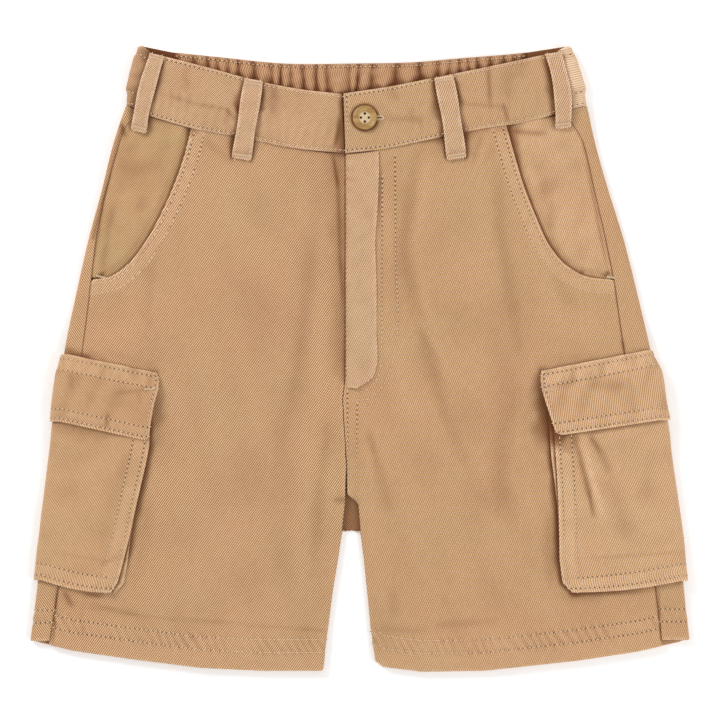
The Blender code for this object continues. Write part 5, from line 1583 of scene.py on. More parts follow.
# --- button ----------
# radius and height of the turned blank, as shares, from the dish outwards and round beneath
BUTTON_TURNS = rows_of(Point, [
    (0, 0.62), (0.30, 0.62), (0.43, 0.63), (0.50, 0.68), (0.58, 0.70), (0.74, 0.73), (0.80, 0.82),
    (0.85, 0.95), (0.90, 1), (0.94, 0.98), (0.98, 0.88), (1, 0.72), (1, 0.48), (0.97, 0.28),
    (0.90, 0.12), (0.80, 0.03), (0.70, 0)])
BUTTON_SIDES = 96


def button_blank():
    """The turned button before its holes are drilled."""
    base = BAND_HEIGHT + SEAM_GAP
    turn = np.linspace(0, math.tau, BUTTON_SIDES, endpoint=False)
    rings = []
    for share in BUTTON_TURNS[1:]:
        radius = BUTTON_RADIUS * share.x
        rings.append(np.stack([BUTTON_X + radius * np.cos(turn), BUTTON_Y + radius * np.sin(turn),
                               np.full(BUTTON_SIDES, base + BUTTON_THICK * share.y)], axis=1))
    index = np.arange(len(rings) * BUTTON_SIDES).reshape(len(rings), BUTTON_SIDES)
    faces = []
    for upper, lower in zip(index, index[1:]):
        after_upper, after_lower = np.roll(upper, -1), np.roll(lower, -1)
        faces += np.stack([upper, lower, after_lower, after_upper], axis=1).tolist()
    faces += [index[0].tolist(), index[-1, ::-1].tolist()]
    return make_mesh("button_blank", np.concatenate(rings), faces)


def horn_button():
    """The button with its four holes cut through."""
    blank = button_blank()
    tools = []
    for i in range(4):
        turn = math.tau * i / 4
        bpy.ops.mesh.primitive_cylinder_add(
            vertices=28, radius=METRES * BUTTON_HOLE, depth=METRES * 4 * BUTTON_THICK,
            location=(METRES * (BUTTON_X + BUTTON_HOLE_RING * math.cos(turn)),
                      METRES * (BUTTON_Y + BUTTON_HOLE_RING * math.sin(turn)),
                      METRES * (BAND_HEIGHT + 1.0)))
        tools.append(bpy.context.object)
        cut = blank.modifiers.new("hole", "BOOLEAN")
        cut.object = tools[-1]
    piece = linked("horn_button", solved_mesh(blank))
    for used in (*tools, blank):
        bpy.data.objects.remove(used, do_unlink=True)
    piece.data.materials.clear()
    piece.data.materials.append(horn_finish())
    smooth(piece, SHARP_HORN)
    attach(piece, BODY)
    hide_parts("button")


# --- painted shade and highlights ---
SKY_REACH = 7.0          # how far off a neighbour that overhangs is felt
SKY_START = 0.15
SKY_RAYS = 16
SKY_FROM, SKY_FULL = 0.10, 0.52
COVERED_PIECES = ("gathered_band", "pocket_gusset_left", "pocket_gusset_right")
TROUGH_SHADE, RIDGE_HIGHLIGHT = 0.40, 0.30    # painted shade in troughs and painted highlight on ridges, for each millimetre of a piece's own relief
DEEP_FOLD_SHADING, FOLD_SHADING, SWELL_SHADING = 0.15, 0.29, 0.14    # and of the laid folds and the swell
DEEPEST_FOLD = -1.1
SHADOW_FADE = 2.6           # how sharply the painted shadow beside an edge ends
SHADOW_MARGIN = 12          # no painted shadow reaches further from its edge
# painted shade on the inner faces, and for each millimetre of a gather's depth
INSIDE_SHADE = 0.15
GATHER_SHADE = 0.85
CROTCH_SHADE = 0.55        # painted shade inside the backs, where they show between the legs
PAINTED_HIGHLIGHT = 0.9           # painted highlight: where the painted shade falls below 0, the cloth turns paler like rubbed cloth
LEG_SHADE = rows_of(Fold, [  # painted shade in the hollows and beside raised parts: here the depth is the shade
    (-18, 125.4, -14.4, 104.4, 5, 0.15), (-51.6, 164.4, -52.2, 143.4, 3, 0.3),
    (76.8, 175.8, 78, 153, 1.5, 0.5), (88.8, 175.8, 88.2, 158.4, 5, 0.2),
    (85.8, 153, 88.8, 142.2, 1.3, 0.5), (18, 165, 21.6, 155.4, 3.4, 0.2),
    (14.4, 144, 36, 144, 2.2, 0.22), (61.8, 153, 87.6, 151.2, 1.2, 0.2),
    (-104.4, 177, -105, 161.4, 2.6, 0.2), (-115.2, 157.8, -96, 152.4, 1.3, 0.24),
    (-96, 152.4, -80.4, 150, 1.4, 0.34), (-80.4, 150, -74.4, 143.4, 1.4, 0.4),
    (-158.4, 49.8, -153.6, 50.4, 1.8, 0.6), (-144, 142.2, -141, 133.8, 1.8, 0.7),
    (147.6, 52.2, 150, 49.8, 2, 0.7), (88.8, 136.8, 111, 135, 1.8, 0.5),
    (132, 52.2, 134.4, 51.6, 2, 0.6), (135.6, 119.4, 147.6, 58.2, 0.8, 0.5),
    (-150, 120.6, -160.8, 52.2, 0.8, 0.45), (-144, 119.4, -126, 107.4, 7, 0.14),
    (-148.8, 89.4, -155.4, 52.2, 2, 0.2), (108, 113.4, 117.6, 65.4, 4, 0.14),
    (113.4, -93.6, 115.2, -139.8, 4, 0.2), (-12, 144, -13.2, 136.2, 1.2, 0.5),
    (-13.2, 136.2, -15, 127.8, 1.2, 0.6), (-16.2, 122.4, -13.2, 103.2, 1.3, 0.5),
    (-13.2, 103.2, -12, 60, 1.3, 0.4), (-12, 60, -10.2, 35.4, 1.3, 0.4),
    (12.6, 113.4, 11.4, 78.6, 0.8, 0.4), (-165.6, -141, -154.8, -142.2, 1.6, 0.6),
    (-36, -161.4, -21, -163.2, 1.3, 0.12), (-160.8, -147, -132, -154.2, 1.2, 0.2),
    (-132, -154.2, -21, -163.2, 1, 0.2), (12, -162, 40.8, -163.2, 2.4, 0.16),
    (45.6, -159.6, 78, -157.8, 2.4, 0.2), (157.2, 11.4, 158.4, 4.2, 1.2, 0.5),
    (-181.8, -138.6, -184.2, -168.6, 0.8, 0.5), (-177.6, -139.8, -172.8, -148.2, 1.6, 0.3),
    (178.8, -138.6, 180.6, -168.6, 0.6, 0.6), (-15.6, -84.6, -2.4, -84.6, 2, 0.5),
    (120, -142.2, 144, -144.6, 2.6, 0.2), (-126, -84.6, -134.4, -132.6, 5, 0.12)])
# painted shade on the bags, and a painted highlight along a ridge where the depth is below 0
BAG_SHADING = rows_of(Fold, [
    (-140.4, -55.8, -143.4, -71.4, 3, 0.12), (-143.4, -71.4, -154.2, -111.6, 4.2, 0.09),
    (127.8, -46.8, 132, -58.2, 1.7, 0.36), (132, -58.2, 137.4, -79.8, 1.8, 0.36),
    (137.4, -79.8, 139.8, -94.2, 1.2, 0.5), (138, -46.2, 144, -55.8, 2, 0.55),
    (144, -55.8, 149.4, -67.8, 3.2, 0.38), (151.2, -72.6, 163.2, -108.6, 6, 0.08),
    (134.4, -50.4, 145.2, -93.6, 1.8, -0.45), (138, -119.4, 192, -115.8, 1.2, 0.2),
    (-156, -123.6, -144, -118.2, 1.5, 0.2), (-181.2, -116.4, -156, -120.6, 1.2, 0.14)])
# painted shade on the flaps
FLAP_SHADE = rows_of(Fold, [
    (-150.6, -32.4, -151.8, -40.2, 1.2, 0.45), (-145.2, -20.4, -126, -18, 1.6, 0.3),
    (-173.4, -9, -172.8, -17.4, 1.8, 0.2), (117.6, -16.2, 129.6, -12.6, 2.4, 0.24),
    (138, -16.2, 159.6, -16.2, 3.2, 0.22), (157.8, 8.4, 162, -16.2, 1, 0.2),
    (162, -16.2, 163.8, -31.8, 2.4, 0.12), (-180, -7.8, -156, -13.8, 2.2, 0.12)])
BelowEdge = namedtuple("BelowEdge", "over edge under keys")
LEGS = ("front_panel", "back_panel")
EDGE_SHADOWS = rows_of(BelowEdge, [             # painted shadows beside raised edges; keys: share along the edge, reach, shade
    ("back_panel_left", "first", ("pocket_facing", "front_panel"), ((0, 0.6, 0.3),
        (0.1, 0.6, 0.7), (0.55, 0.7, 0.75), (1, 0.7, 0.8))),
    ("back_panel_right", "first", ("pocket_facing", "front_panel"), ((0, 0.6, 0.4),
        (0.08, 0.7, 0.9), (0.55, 0.7, 0.9), (1, 0.7, 0.95))),
    ("pocket_gusset_left", "top", LEGS, ((0, 1.4, 0.9), (0.14, 2.6, 0.9), (0.25, 2.9, 0.95),
        (0.34, 3.2, 0.88), (0.44, 2.6, 0.85), (0.56, 2, 0.85), (0.62, 0.9, 0.1), (0.66, 0.8, 0),
        (1, 0.8, 0))),
    ("pocket_gusset_right", "top", LEGS, ((0, 1, 1), (0.12, 1.9, 1), (0.25, 3, 1), (0.45, 3.2, 1),
        (0.56, 2.6, 0.9), (0.65, 2.5, 0.7), (0.75, 2, 0.4), (0.83, 0.8, 0.1), (1, 0.8, 0))),
    ("pocket_bag_left", "first", ("pocket_gusset",), ((0, 0.9, 0.3), (0.65, 0.9, 0.5),
        (0.75, 1.1, 0.95), (0.9, 1.2, 0.95), (1, 0.9, 0.5))),
    ("pocket_bag_right", "first", ("pocket_gusset",), ((0, 1, 0.6), (1, 1.1, 0.95))),
    ("pocket_bag_left", "foot", (*LEGS, "pocket_gusset"), ((0, 0.8, 0.05), (0.13, 1.4, 0.15),
        (0.25, 1.6, 0.2), (0.34, 1, 0.15), (0.6, 1, 0.15), (0.68, 0.8, 0), (1, 0.6, 0))),
    ("pocket_bag_right", "foot", (*LEGS, "pocket_gusset"), ((0, 2.2, 0.9), (0.12, 2, 0.8),
        (0.25, 2, 0.8), (0.35, 3, 0.6), (0.45, 1.5, 0.2), (0.55, 1, 0.2), (0.66, 1.2, 0.4),
        (0.76, 2, 0.4), (0.86, 1, 0.2), (1, 0.6, 0))),
    ("pocket_flap_left", "first", (*LEGS, "pocket_bag", "pocket_gusset"), ((0, 1.2, 0.1),
        (0.27, 2, 0.15), (0.34, 4.2, 0.35), (0.46, 6.5, 0.4), (0.66, 6.2, 0.5), (0.76, 5, 0.5),
        (0.84, 1.8, 0.5), (1, 1.2, 0.4))),
    ("pocket_flap_right", "first", (*LEGS, "pocket_bag", "pocket_gusset"), ((0, 3, 0.5),
        (0.16, 4.2, 0.6), (0.25, 5.5, 0.72), (0.34, 6.2, 0.85), (0.44, 7, 0.9), (0.6, 8.5, 0.92),
        (0.75, 10.5, 1), (0.85, 11.5, 1), (1, 9.4, 0.95))),
    ("pocket_flap_left", "top", LEGS, ((0, 1.4, 0.55), (0.12, 1, 0.6), (0.3, 1, 0.4),
        (0.45, 1, 0.42), (0.54, 2.2, 0.85), (0.65, 3.4, 0.8), (0.75, 5.5, 0.45),
        (0.82, 1.3, 0.45), (0.9, 1, 0.3), (1, 0.6, 0))),
    ("pocket_flap_right", "top", LEGS, ((0, 1.8, 0.35), (0.5, 1.6, 0.3), (0.75, 1, 0.25),
        (1, 0.6, 0.1))),
    ("pocket_flap_left", "foot", ("pocket_bag",), ((0, 0.6, 0.1), (0.14, 0.8, 0.15),
        (0.24, 1.6, 0.35), (0.34, 6, 0.35), (0.45, 8, 0.42), (0.55, 7, 0.34), (0.65, 6, 0.3),
        (0.75, 1.5, 0.35), (0.85, 0.8, 0.15), (1, 0.5, 0))),
    ("pocket_flap_right", "foot", ("pocket_bag",), ((0, 3, 0.35), (0.14, 2, 0.32),
        (0.24, 2.3, 0.5), (0.34, 1.6, 0.5), (0.44, 1.8, 0.45), (0.66, 1.5, 0.4), (0.74, 1, 0.1),
        (1, 0.5, 0))),
    ("belt_loop_front_left", "first", ("front_band", *LEGS), ((0, 1.6, 0.6), (0.13, 2, 0.9),
        (0.24, 3.2, 0.9), (0.36, 4, 1), (0.45, 1.4, 1), (0.55, 0.9, 0.9), (0.64, 2.2, 0.5),
        (0.75, 3.2, 1), (0.87, 2.6, 1), (1, 2, 1))),
    ("belt_loop_front_left", "last", ("front_band", *LEGS), ((0, 0.9, 0.8), (0.12, 1.4, 1),
        (0.24, 2.1, 1), (0.35, 3.1, 0.88), (0.43, 1, 0.3), (0.55, 2.2, 0.5), (0.66, 2.6, 0.6),
        (0.74, 1.2, 0.85), (0.87, 1.2, 0.95), (1, 1.2, 0.7))),
    ("belt_loop_front_right", "first", ("front_band", *LEGS), ((0, 2, 1), (0.15, 2.8, 1),
        (0.25, 3.2, 0.92), (0.36, 4.1, 0.95), (0.45, 4.6, 0.88), (0.54, 2, 0.82),
        (0.66, 2.8, 0.85), (0.76, 1.7, 1), (0.87, 1.2, 1), (1, 1, 1))),
    ("belt_loop_front_right", "last", ("front_band", *LEGS), ((0, 0.9, 0.7), (0.13, 2.4, 0.85),
        (0.24, 2, 0.95), (0.35, 3.2, 0.75), (0.44, 1.4, 0.3), (0.55, 2.6, 0.4), (0.66, 2.8, 0.7),
        (0.75, 2.8, 1), (0.86, 2.4, 0.9), (1, 2, 0.88))),
    ("belt_loop_side_left", "first", ("gathered_band", *LEGS, "pocket_facing"), ((0, 5, 0.55),
        (0.15, 5, 0.42), (0.5, 4.2, 0.46), (0.66, 4, 0.44), (0.75, 3.4, 0.65), (0.87, 2.8, 0.7),
        (1, 1.4, 0.6))),
    ("belt_loop_side_left", "last", ("front_band", "pocket_facing"), ((0, 1, 0.3), (0.1, 1.5, 1),
        (0.4, 1.6, 1), (0.55, 2.2, 0.9), (0.64, 0.7, 0.4), (0.75, 1.1, 0.9), (0.84, 2.6, 1),
        (0.92, 2.6, 0.6), (1, 3, 0.35))),
    ("belt_loop_side_right", "first", ("front_band", "pocket_facing"), ((0, 2.2, 0.6),
        (0.13, 3, 1), (0.35, 3.5, 1), (0.55, 3, 1), (0.66, 2.8, 0.8), (0.75, 2.6, 0.8),
        (0.85, 3, 1), (0.94, 2.4, 0.6), (1, 2, 0.5))),
    ("belt_loop_side_right", "last", ("gathered_band", *LEGS, "pocket_facing"), ((0, 0.8, 0.15),
        (1, 0.9, 0.3))),
    ("front_band_left", "foot", (*LEGS, "pocket_facing"), ((0, 4, 0.8), (0.08, 2, 0.7),
        (0.14, 1, 0.5), (0.2, 1, 0.3), (0.26, 4, 0.6), (0.31, 1, 0.2), (0.5, 1, 0.2),
        (0.65, 1.2, 0.4), (0.76, 1.1, 0.5), (0.88, 1.5, 0.45), (1, 2.5, 0.85))),
    ("front_band_right", "foot", (*LEGS, "fly_front", "pocket_facing"), ((0, 1, 0.15),
        (0.14, 1, 0.4), (0.24, 1, 0.15), (0.34, 1, 0.38), (0.39, 1.5, 0.4), (0.44, 5, 0.72),
        (0.56, 5.5, 0.5), (0.62, 1.5, 0.2), (0.72, 3.5, 0.35), (0.78, 4, 0.45), (0.84, 1, 0.1),
        (0.9, 1, 0.1), (1, 3.5, 0.55))),
    ("front_band_right", "first", ("front_band_left",), ((0, 2, 0.8), (0.14, 2.6, 1), (0.3, 3, 1),
        (0.45, 3.6, 1), (0.66, 4.6, 0.95), (0.77, 5.2, 0.88), (0.88, 6, 0.86), (1, 6.5, 0.85))),
    ("front_band_left", "top", ("gathered_band",), ((0, 2.6, 0.9), (1, 3.2, 0.9))),
    ("front_band_right", "top", ("gathered_band",), ((0, 3.2, 0.9), (1, 2.6, 0.9))),
    ("front_panel_left", "first", ("pocket_facing",), ((0, 2, 0.9), (0.06, 2, 0.9),
        (0.12, 1.5, 0.85), (0.24, 1.6, 0.8), (0.31, 1.4, 0.6), (0.34, 1.2, 0.5))),
    ("front_panel_right", "first", ("pocket_facing",), ((0, 3.2, 0.95), (0.04, 3.4, 0.95),
        (0.1, 2, 1), (0.16, 1.7, 1), (0.25, 2.2, 0.95), (0.3, 1.6, 0.8), (0.34, 1.4, 0.6))),
    ("fly_front", "first", ("front_panel_left",), ((0, 4.4, 0.32), (0.1, 3.8, 0.35),
        (0.2, 3.4, 0.35), (0.3, 3.4, 0.4), (0.45, 3.2, 0.5), (0.55, 2.6, 0.68), (0.65, 3, 0.62),
        (0.75, 3, 0.75), (0.9, 2.8, 0.72), (0.97, 2.4, 0.65), (1, 0.8, 0.3))),
    ("fly_front", "last", ("front_panel_right",), ((0, 1, 0.25), (0.14, 1.5, 0.42),
        (0.25, 2, 0.3), (0.4, 1, 0.28), (0.55, 1, 0.15), (1, 0.7, 0.1)))])


def sky_rays():
    """Directions spread over the half of the sky above a level patch, closer together overhead."""
    number = np.arange(SKY_RAYS) + 0.5
    out = np.sqrt(number / SKY_RAYS)
    turn = number * math.pi * (3 - math.sqrt(5))
    return np.stack([out * np.cos(turn), out * np.sin(turn), np.sqrt(1 - out * out)], axis=1)


def covered(tree, places, normals):
    """Share of the sky that is shut off close by, for a grid of points."""
    places, shape = places.reshape(-1, 3), places.shape[:2]
    normals = normals.reshape(-1, 3)
    across = np.cross(normals, [0.0, 1.0, 0.13])
    across /= np.linalg.norm(across, axis=1, keepdims=True)
    third = np.cross(normals, across)
    shut = np.zeros(len(places))
    starts = (places + normals * SKY_START).tolist()
    for ray in sky_rays():
        ways = (across * ray[0] + third * ray[1] + normals * ray[2]).tolist()
        for i, (start, way) in enumerate(zip(starts, ways)):
            distance = tree.ray_cast(start, way, SKY_REACH)[3]
            if distance is not None:
                shut[i] += 1 - distance / SKY_REACH
    wide = np.pad((shut / SKY_RAYS).reshape(shape), 1, mode="edge")
    near = sum(wide[r:r + shape[0], c:c + shape[1]] for r in range(3) for c in range(3)) / 9
    return np.clip((near - SKY_FROM) / (SKY_FULL - SKY_FROM), 0, 1)


def cloth_tree():
    """All shells' faces, for casting rays."""
    faces, places = [], []
    for name, shell in PIECES.items():
        for grid in (shell.outer, shell.inner) if name == "gathered_band" else (shell.outer,):
            faces += grid_index(grid, len(places))[1].tolist()
            places += grid.reshape(-1, 3).tolist()
    return BVHTree.FromPolygons(places, faces)


def shadow_below_edge(entry, x, y):
    """Painted shadow on the cloth beneath a raised edge."""
    over = PIECES[entry.over].outer
    line = {"first": over[:, 0], "last": over[:, -1], "top": over[0], "foot": over[-1]}[entry.edge]
    line = line[::3] if len(line) > 50 else line
    upper = line[:, 2] > BODY_HEIGHT / 2
    line = line[upper, :2]
    along = run_lengths(line)
    whole = along[-1] / upper.mean()
    near = ((x > line[:, 0].min() - SHADOW_MARGIN) & (x < line[:, 0].max() + SHADOW_MARGIN)
            & (y > line[:, 1].min() - SHADOW_MARGIN) & (y < line[:, 1].max() + SHADOW_MARGIN))
    if not near.any():
        return np.zeros(x.shape)
    best, place = np.full(near.sum(), 1e9), np.zeros(near.sum())
    for start, end, before, after in zip(line, line[1:], along, along[1:]):
        away, t = from_segment(x[near], y[near], start, end)
        place = np.where(away < best, mix(before, after, t), place)
        best = np.minimum(best, away)
    distance, share = np.full(x.shape, 1e9), np.zeros(x.shape)
    distance[near], share[near] = best, place / whole
    keys = np.array(entry.keys)
    reach = np.interp(share, keys[:, 0], keys[:, 1])
    ragged = 1 + 0.12 * waves(x, y, 11.0, 101)
    return (np.interp(share, keys[:, 0], keys[:, 2], right=0.0)
            * np.exp(-(distance / (reach * ragged)) ** SHADOW_FADE))


def paint_shade_and_highlight():
    """Painted shade in folds, recesses and beside raised edges, and painted highlight on ridges and
    crests.
    """
    tree = cloth_tree()
    for name, shell in PIECES.items():
        x, y = shell.outer[..., 0], shell.outer[..., 1]
        # painted shade in the piece's own troughs, painted highlight (below 0) on its ridges
        shading = np.where(shell.relief < 0, -TROUGH_SHADE * shell.relief, -RIDGE_HIGHLIGHT * shell.relief)
        # painted shade in the laid folds and the swell's hollows, painted highlight on their crests
        if name.startswith((*LEGS, "pocket_facing")):
            shading = shading - DEEP_FOLD_SHADING * np.maximum(body_folds(x, y), DEEPEST_FOLD)
            shading = shading - FOLD_SHADING * crease(SMALL_FOLDS, x, y)
            shading = shading - SWELL_SHADING * slow_swell(x, y)
        # painted contact shadow in a ring round the button
        if name == "front_band_right":
            beside_button = np.hypot(x - BUTTON_X, y - BUTTON_Y) - BUTTON_RADIUS
            shading = np.maximum(shading, 1 - ease(0.3, 2.2, beside_button))
        # painted shade listed for the legs, bags and flaps
        for start, table in ((("front", "back_panel", "pocket_facing", "pocket_gusset"), LEG_SHADE),
                             ("pocket_bag", BAG_SHADING), ("pocket_flap", FLAP_SHADE)):
            if name.startswith(start):
                shading = shading - crease(table, x, y)
        shading = shading * (shell.normals[..., 2] > 0)
        # painted shade on the inner faces, stronger inside the backs between the legs
        inner = np.full(x.shape, INSIDE_SHADE)
        if name.startswith("back_panel"):
            inner = inner + CROTCH_SHADE * (np.abs(x) < 12.0) * (y > -112.0)
        # painted shade where neighbouring pieces shut off the sky
        if name in COVERED_PIECES:
            shading = shading + (1 - np.clip(shading, 0, 1)) * covered(tree, shell.outer, shell.normals)
            inner = covered(tree, shell.inner, -shell.normals)
        # painted shade in the gathers' troughs, painted highlight on their crests
        if name == "gathered_band":
            trough = GATHER_SHADE * (BAND_INNER_WALL + GATHER_CREST - 0.25 - shell.inner[..., 2])
            inner = np.maximum(inner, np.maximum(trough, 0)) + np.minimum(trough, 0)
        # painted shadows beside raised edges
        for entry in EDGE_SHADOWS:
            if name.startswith(entry.under):
                below = shadow_below_edge(entry, x, y)
                shading = shading + (1 - np.clip(shading, 0, 1)) * below * (shell.normals[..., 2] > -0.2)
                if name == "gathered_band":
                    inner = inner + (1 - np.clip(inner, 0, 1)) * below * (0.6 + inner)
        # kept above 0 as painted shade; below 0 it is a painted highlight, added to the edge wear
        both = np.stack([shading, inner]).ravel()
        deep = np.clip(both, 0, 1)
        mark_points(shell.piece.data, "deep", deep)
        worn = shell.piece.data.attributes["worn"].data
        pale = np.clip(read(worn, "value") + PAINTED_HIGHLIGHT * np.maximum(-both, 0), 0, 1) * (1 - deep)
        worn.foreach_set("value", pale.astype(np.float32))


# --- topstitching ----------
STITCH_PITCH = 2.8
LONGEST_ROW = 5.0        # metres
TACKS = []               # rows that are sewn close, straight across
BARS = []                # the buttonhole's bars


def stitching_tree():
    """One small thread, or a dark bead of painted needle-hole shade, at each step along every row.
    """
    tree, given, out = new_group(
        "stitching",
        [("Rows", "Geometry"), ("Pitch", "Float", 0.0028), ("Length", "Float", 0.0022),
         ("Width", "Float", 0.0005), ("Height", "Float", 0.0003), ("Shift", "Float", 0.0),
         ("Turn", "Float", 0.0), ("Jitter", "Float", 0.06), ("Finish", "Material"),
         ("Seed", "Int", 7)],
        [("Stitches", "Geometry")], "GeometryNodeTree")
    tree.is_modifier = True
    rows = lay(tree, "GeometryNodeMeshToCurve", {"Mesh": given["Rows"]}).outputs[0]
    trimmed = lay(tree, "GeometryNodeTrimCurve",
                  {"Curve": rows, 4: calc(tree, "ADD", given["Shift"], 0.0004), 5: LONGEST_ROW},
                  mode="LENGTH").outputs[0]
    steps = lay(tree, "GeometryNodeResampleCurve",
                {"Curve": trimmed, "Length": given["Pitch"]}, mode="LENGTH").outputs[0]
    along = tree.nodes.new("GeometryNodeInputTangent").outputs[0]
    up = tree.nodes.new("GeometryNodeInputNamedAttribute")
    up.data_type = "FLOAT_VECTOR"
    up.inputs["Name"].default_value = "up"
    facing_up = lay(tree, "FunctionNodeAxesToRotation",
                    {"Primary Axis": along, "Secondary Axis": up.outputs[0]},
                    primary_axis="X", secondary_axis="Z").outputs[0]
    loose = lay(tree, "FunctionNodeRandomValue", {2: -1.0, 3: 1.0, "Seed": given["Seed"]},
                data_type="FLOAT").outputs[1]
    swing = calc(tree, "MULTIPLY_ADD", loose, given["Jitter"], given["Turn"])
    twist = lay(tree, "ShaderNodeCombineXYZ", {2: swing}).outputs[0]
    own = lay(tree, "FunctionNodeEulerToRotation", {0: twist}).outputs[0]
    turned = lay(tree, "FunctionNodeRotateRotation",
                 {"Rotation": facing_up, "Rotate By": own}, rotation_space="LOCAL").outputs[0]
    stretch = calc(tree, "MULTIPLY_ADD", loose, given["Jitter"], 1.0)
    length = calc(tree, "MULTIPLY", given["Length"], stretch)
    size = lay(tree, "ShaderNodeCombineXYZ",
               {0: length, 1: given["Width"], 2: given["Height"]}).outputs[0]
    bead = lay(tree, "GeometryNodeMeshUVSphere", {"Segments": 6, "Rings": 4, "Radius": 0.5})
    laid_bead = lay(tree, "GeometryNodeTransform", {
        "Geometry": bead.outputs[0], "Rotation": (0.0, math.pi / 2, 0.0)}).outputs[0]
    placed = lay(tree, "GeometryNodeInstanceOnPoints", {
        "Points": steps, "Instance": laid_bead, "Rotation": turned, "Scale": size}).outputs[0]
    real = lay(tree, "GeometryNodeRealizeInstances", {0: placed}).outputs[0]
    finished = lay(tree, "GeometryNodeSetMaterial",
                   {"Geometry": real, "Material": given["Finish"]}).outputs[0]
    tree.links.new(finished, out["Stitches"])
    return tree


def rows_mesh(rows):
    """The rows as loose edges, each point with the way up from the cloth."""
    points, edges, ups = [], [], []
    for row in rows:
        start = len(points)
        points += row.tolist()
        ups += way_up(row).tolist()
        edges += [(start + i, start + i + 1) for i in range(len(row) - 1)]
    mesh = bpy.data.meshes.new("rows")
    mesh.from_pydata((np.array(points) * METRES).tolist(), edges, [])
    mark_points(mesh, "up", ups, "FLOAT_VECTOR", "vector")
    return linked("rows", mesh)


def way_up(row):
    """Up from the cloth under each point of a row, from how the row itself bends."""
    run = np.gradient(row, axis=0)
    run /= np.maximum(np.linalg.norm(run, axis=1, keepdims=True), 1e-9)
    up = np.zeros_like(row)
    up[:, 2] = np.where(row[:, 2] < 1.0, -1.0, 1.0)
    return up - run * np.sum(run * up, axis=1, keepdims=True)


def stitched(tree, rows, **values):
    """Lay stitches on rows and keep them as a plain mesh."""
    rows_piece = rows_mesh(rows)
    modifier = rows_piece.modifiers.new("stitching", "NODES")
    modifier.node_group = tree
    sockets = {item.name: item.identifier for item in tree.interface.items_tree}
    for name, value in values.items():
        modifier[sockets[name]] = value
    mesh = solved_mesh(rows_piece)
    bpy.data.objects.remove(rows_piece, do_unlink=True)
    return mesh


def joined(name, meshes, finish):
    """Several stitched meshes as one piece."""
    points, faces = [], []
    for mesh in meshes:
        start = len(points)
        points += (read(mesh.vertices, "co", 3) / METRES).tolist()
        faces += [[start + i for i in face.vertices] for face in mesh.polygons]
    piece = make_mesh(name, points, faces, finish)
    piece.data.shade_smooth()
    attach(piece, BODY)


def topstitching():
    tree = stitching_tree()
    close = {"Turn": math.pi / 2, "Finish": THREAD_FINISH}      # sewn across the row
    threads = [
        stitched(tree, ROWS + PLAIN_ROWS, Length=2.0 * METRES, Width=0.64 * METRES,
                 Height=0.50 * METRES, Finish=THREAD_FINISH),
        stitched(tree, TACKS, Pitch=0.46 * METRES, Length=1.7 * METRES, Width=0.46 * METRES,
                 Height=0.5 * METRES, Jitter=0.10, **close),
        stitched(tree, BARS, Pitch=0.42 * METRES, Length=1.5 * METRES, Width=0.42 * METRES,
                 Height=0.6 * METRES, **close)]
    joined("topstitch_thread", threads, THREAD_FINISH)
    # dark beads between the stitches: painted shade of the needle holes
    holes = stitched(tree, ROWS, Length=1.0 * METRES, Width=0.80 * METRES,
                     Height=0.22 * METRES, Shift=STITCH_PITCH / 2 * METRES, Jitter=0.2,
                     Finish=HOLE_SHADE_FINISH)
    joined("needle_holes", [holes], HOLE_SHADE_FINISH)


# --- buttonhole and tacks ----------
BUTTONHOLE_END = 15.0
BUTTONHOLE_Y = 144.7
BAR_GAP = 0.95           # the worked bars lie this far from the slit's middle
SLIT_HALF = 0.36         # half the width of its slit, a dark box of painted shade
SLIT_START = 3.0         # it starts beneath the button


def band_height_at(x, y):
    """Height of the right half of the band at a plan point."""
    shell = PIECES["front_band_right"].outer.reshape(-1, 3)
    nearest = np.argmin((shell[:, 0] - x) ** 2 + (shell[:, 1] - y) ** 2)
    return shell[nearest, 2]


def buttonhole():
    """The worked slit that shows beside the button: a bar along each side and round its end."""
    turn = np.linspace(-math.pi / 2, math.pi / 2, 12)
    round_x = BUTTONHOLE_END - 2.0
    straight_x = np.linspace(0.0, round_x, 24)
    lower = [(x, -BAR_GAP) for x in straight_x]
    upper = [(x, BAR_GAP) for x in straight_x[::-1]]
    end = [(round_x + BAR_GAP * math.cos(a) * 1.3, BAR_GAP * math.sin(a)) for a in turn]
    path = np.array(lower + end[1:-1] + upper)
    z = band_height_at(round_x, BUTTONHOLE_Y) + 0.16
    BARS.append(np.stack([path[:, 0], BUTTONHOLE_Y + path[:, 1], np.full(len(path), z)], axis=1))
    end_x = BUTTONHOLE_END - 1.9
    slit = [(SLIT_START, -SLIT_HALF), (end_x, -SLIT_HALF), (end_x, SLIT_HALF),
            (SLIT_START, SLIT_HALF)]
    top, low = ([(x, BUTTONHOLE_Y + y, z - under) for x, y in slit] for under in (0.05, 0.6))
    faces = [[0, 1, 2, 3], [7, 6, 5, 4], [0, 4, 5, 1], [1, 5, 6, 2], [2, 6, 7, 3], [3, 7, 4, 0]]
    # the slit is a dark box: painted shade in the cut
    piece = make_mesh("buttonhole_slit", top + low, faces, HOLE_SHADE_FINISH)
    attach(piece, BODY)


PLAN_TACKS = [           # bartacks on the pockets and at the fly's foot
    ("pocket_flap_left", (-129.4, -18.0), (-122.8, -18.0)),
    ("pocket_flap_right", (109.8, -18.0), (116.4, -18.6)),
    ("pocket_bag_left", (-155.2, -139.2), (-149.6, -139.4)),
    ("fly_front", (-7.4, -16.2), (-1.6, -17.0)),
    ("front_panel_left", (-104.0, 126.0), (-101.0, 132.0)),
    ("front_panel_left", (-158.6, 50.2), (-153.0, 48.6)),
    ("front_panel_right", (148.0, 49.6), (153.0, 48.6))]


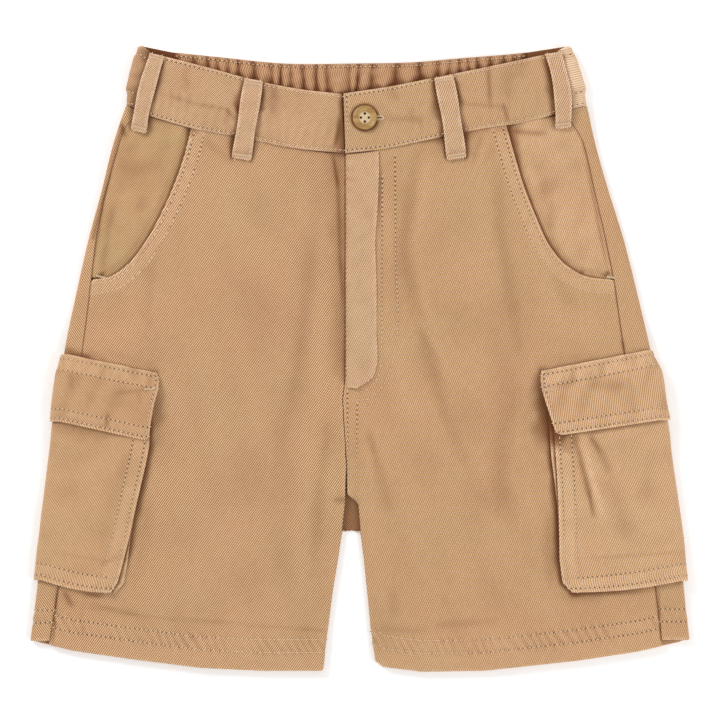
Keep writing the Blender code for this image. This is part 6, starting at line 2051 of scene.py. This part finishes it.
def plan_tacks():
    """Bartacks between two plan points of a shell."""
    for name, start, end in PLAN_TACKS:
        outer = PIECES[name].outer.reshape(-1, 3)
        upper = outer[outer[:, 2] > 2.5]
        row = []
        for t in np.linspace(0, 1, 8):
            x, y = mix(start[0], end[0], t), mix(start[1], end[1], t)
            nearest = np.argmin((upper[:, 0] - x) ** 2 + (upper[:, 1] - y) ** 2)
            row.append((x, y, upper[nearest, 2] + THREAD_LIFT))
        TACKS.append(np.array(row))


# --- studio ----------
CAMERA_LENS = 200.0      # millimetres on a 36 mm sensor
CAMERA_HEIGHT = 2.405    # metres
VIEW_X, VIEW_Y = 0.0, -0.6
FLOOR_HALF = 3.0
FLOOR_COLOUR = (0.97, 0.97, 0.97)
FLOOR_GLOW = 0.12        # a lit table, so that shadows on it stay faint
FLOOR_BELOW = 0.05       # millimetres beneath the garment
WORLD_LIGHT = 0.60
WORLD_COLOUR = (1.0, 0.99, 0.98, 1.0)
LAMPS = [                # name, place in metres, size in metres, power in watts
    ("key light", (-1.5, 1.4, 1.3), 0.9, 30.0),
    ("fill light", (1.6, -0.6, 1.5), 1.4, 20.0)]


def floor_finish():
    """A pale matt floor that is clear from beneath."""
    material, tree, shader = new_material("pale floor")
    beneath = lay(tree, "ShaderNodeNewGeometry").outputs["Backfacing"]
    fill(tree, shader, {
        "Base Color": (*FLOOR_COLOUR, 1.0), "Roughness": 0.9, "Specular IOR Level": 0.1,
        "Emission Color": (1.0, 1.0, 1.0, 1.0), "Emission Strength": FLOOR_GLOW,
        "Alpha": calc(tree, "SUBTRACT", 1.0, beneath)})
    return material


def studio():
    """The floor, the light from all round and the lamps."""
    reach = FLOOR_HALF / METRES
    corners = [(x * reach, y * reach, -FLOOR_BELOW)
               for x, y in ((-1, -1), (1, -1), (1, 1), (-1, 1))]
    make_mesh("floor", corners, [[0, 1, 2, 3]], floor_finish())
    world = bpy.data.worlds.new("studio")
    world.use_nodes = True
    fill(world.node_tree, world.node_tree.nodes["Background"],
         {"Color": WORLD_COLOUR, "Strength": WORLD_LIGHT})
    bpy.context.scene.world = world
    for name, place, size, power in LAMPS:
        lamp = bpy.data.lights.new(name, "AREA")
        lamp.shape = "DISK"
        lamp.size = size
        lamp.energy = power
        stand = linked(name, lamp)
        stand.location = place
        stand.rotation_euler = (-Vector(place)).to_track_quat("-Z", "Y").to_euler()
        stand.visible_camera = False


def camera():
    """Straight above the garment, the waist upwards."""
    lens = bpy.data.cameras.new("camera")
    lens.lens = CAMERA_LENS
    lens.sensor_width = 36.0
    lens.clip_end = 20.0
    eye = linked("camera", lens)
    eye.location = (VIEW_X * METRES, VIEW_Y * METRES, CAMERA_HEIGHT)
    bpy.context.scene.camera = eye


# --- the garment ----------
for half in (LEFT, RIGHT):
    back(half)
    front(half)
    facing(half)
gathered_band()
for half in (LEFT, RIGHT):
    front_band(half)
    cargo_gusset(half)
    cargo_bag(half)
    cargo_flap(half)
fly_strip()
for strip in LOOPS:
    belt_loop(strip)
horn_button()
buttonhole()
plan_tacks()
paint_shade_and_highlight()
topstitching()
studio()
camera()
bpy.context.scene.view_settings.view_transform = "Standard"
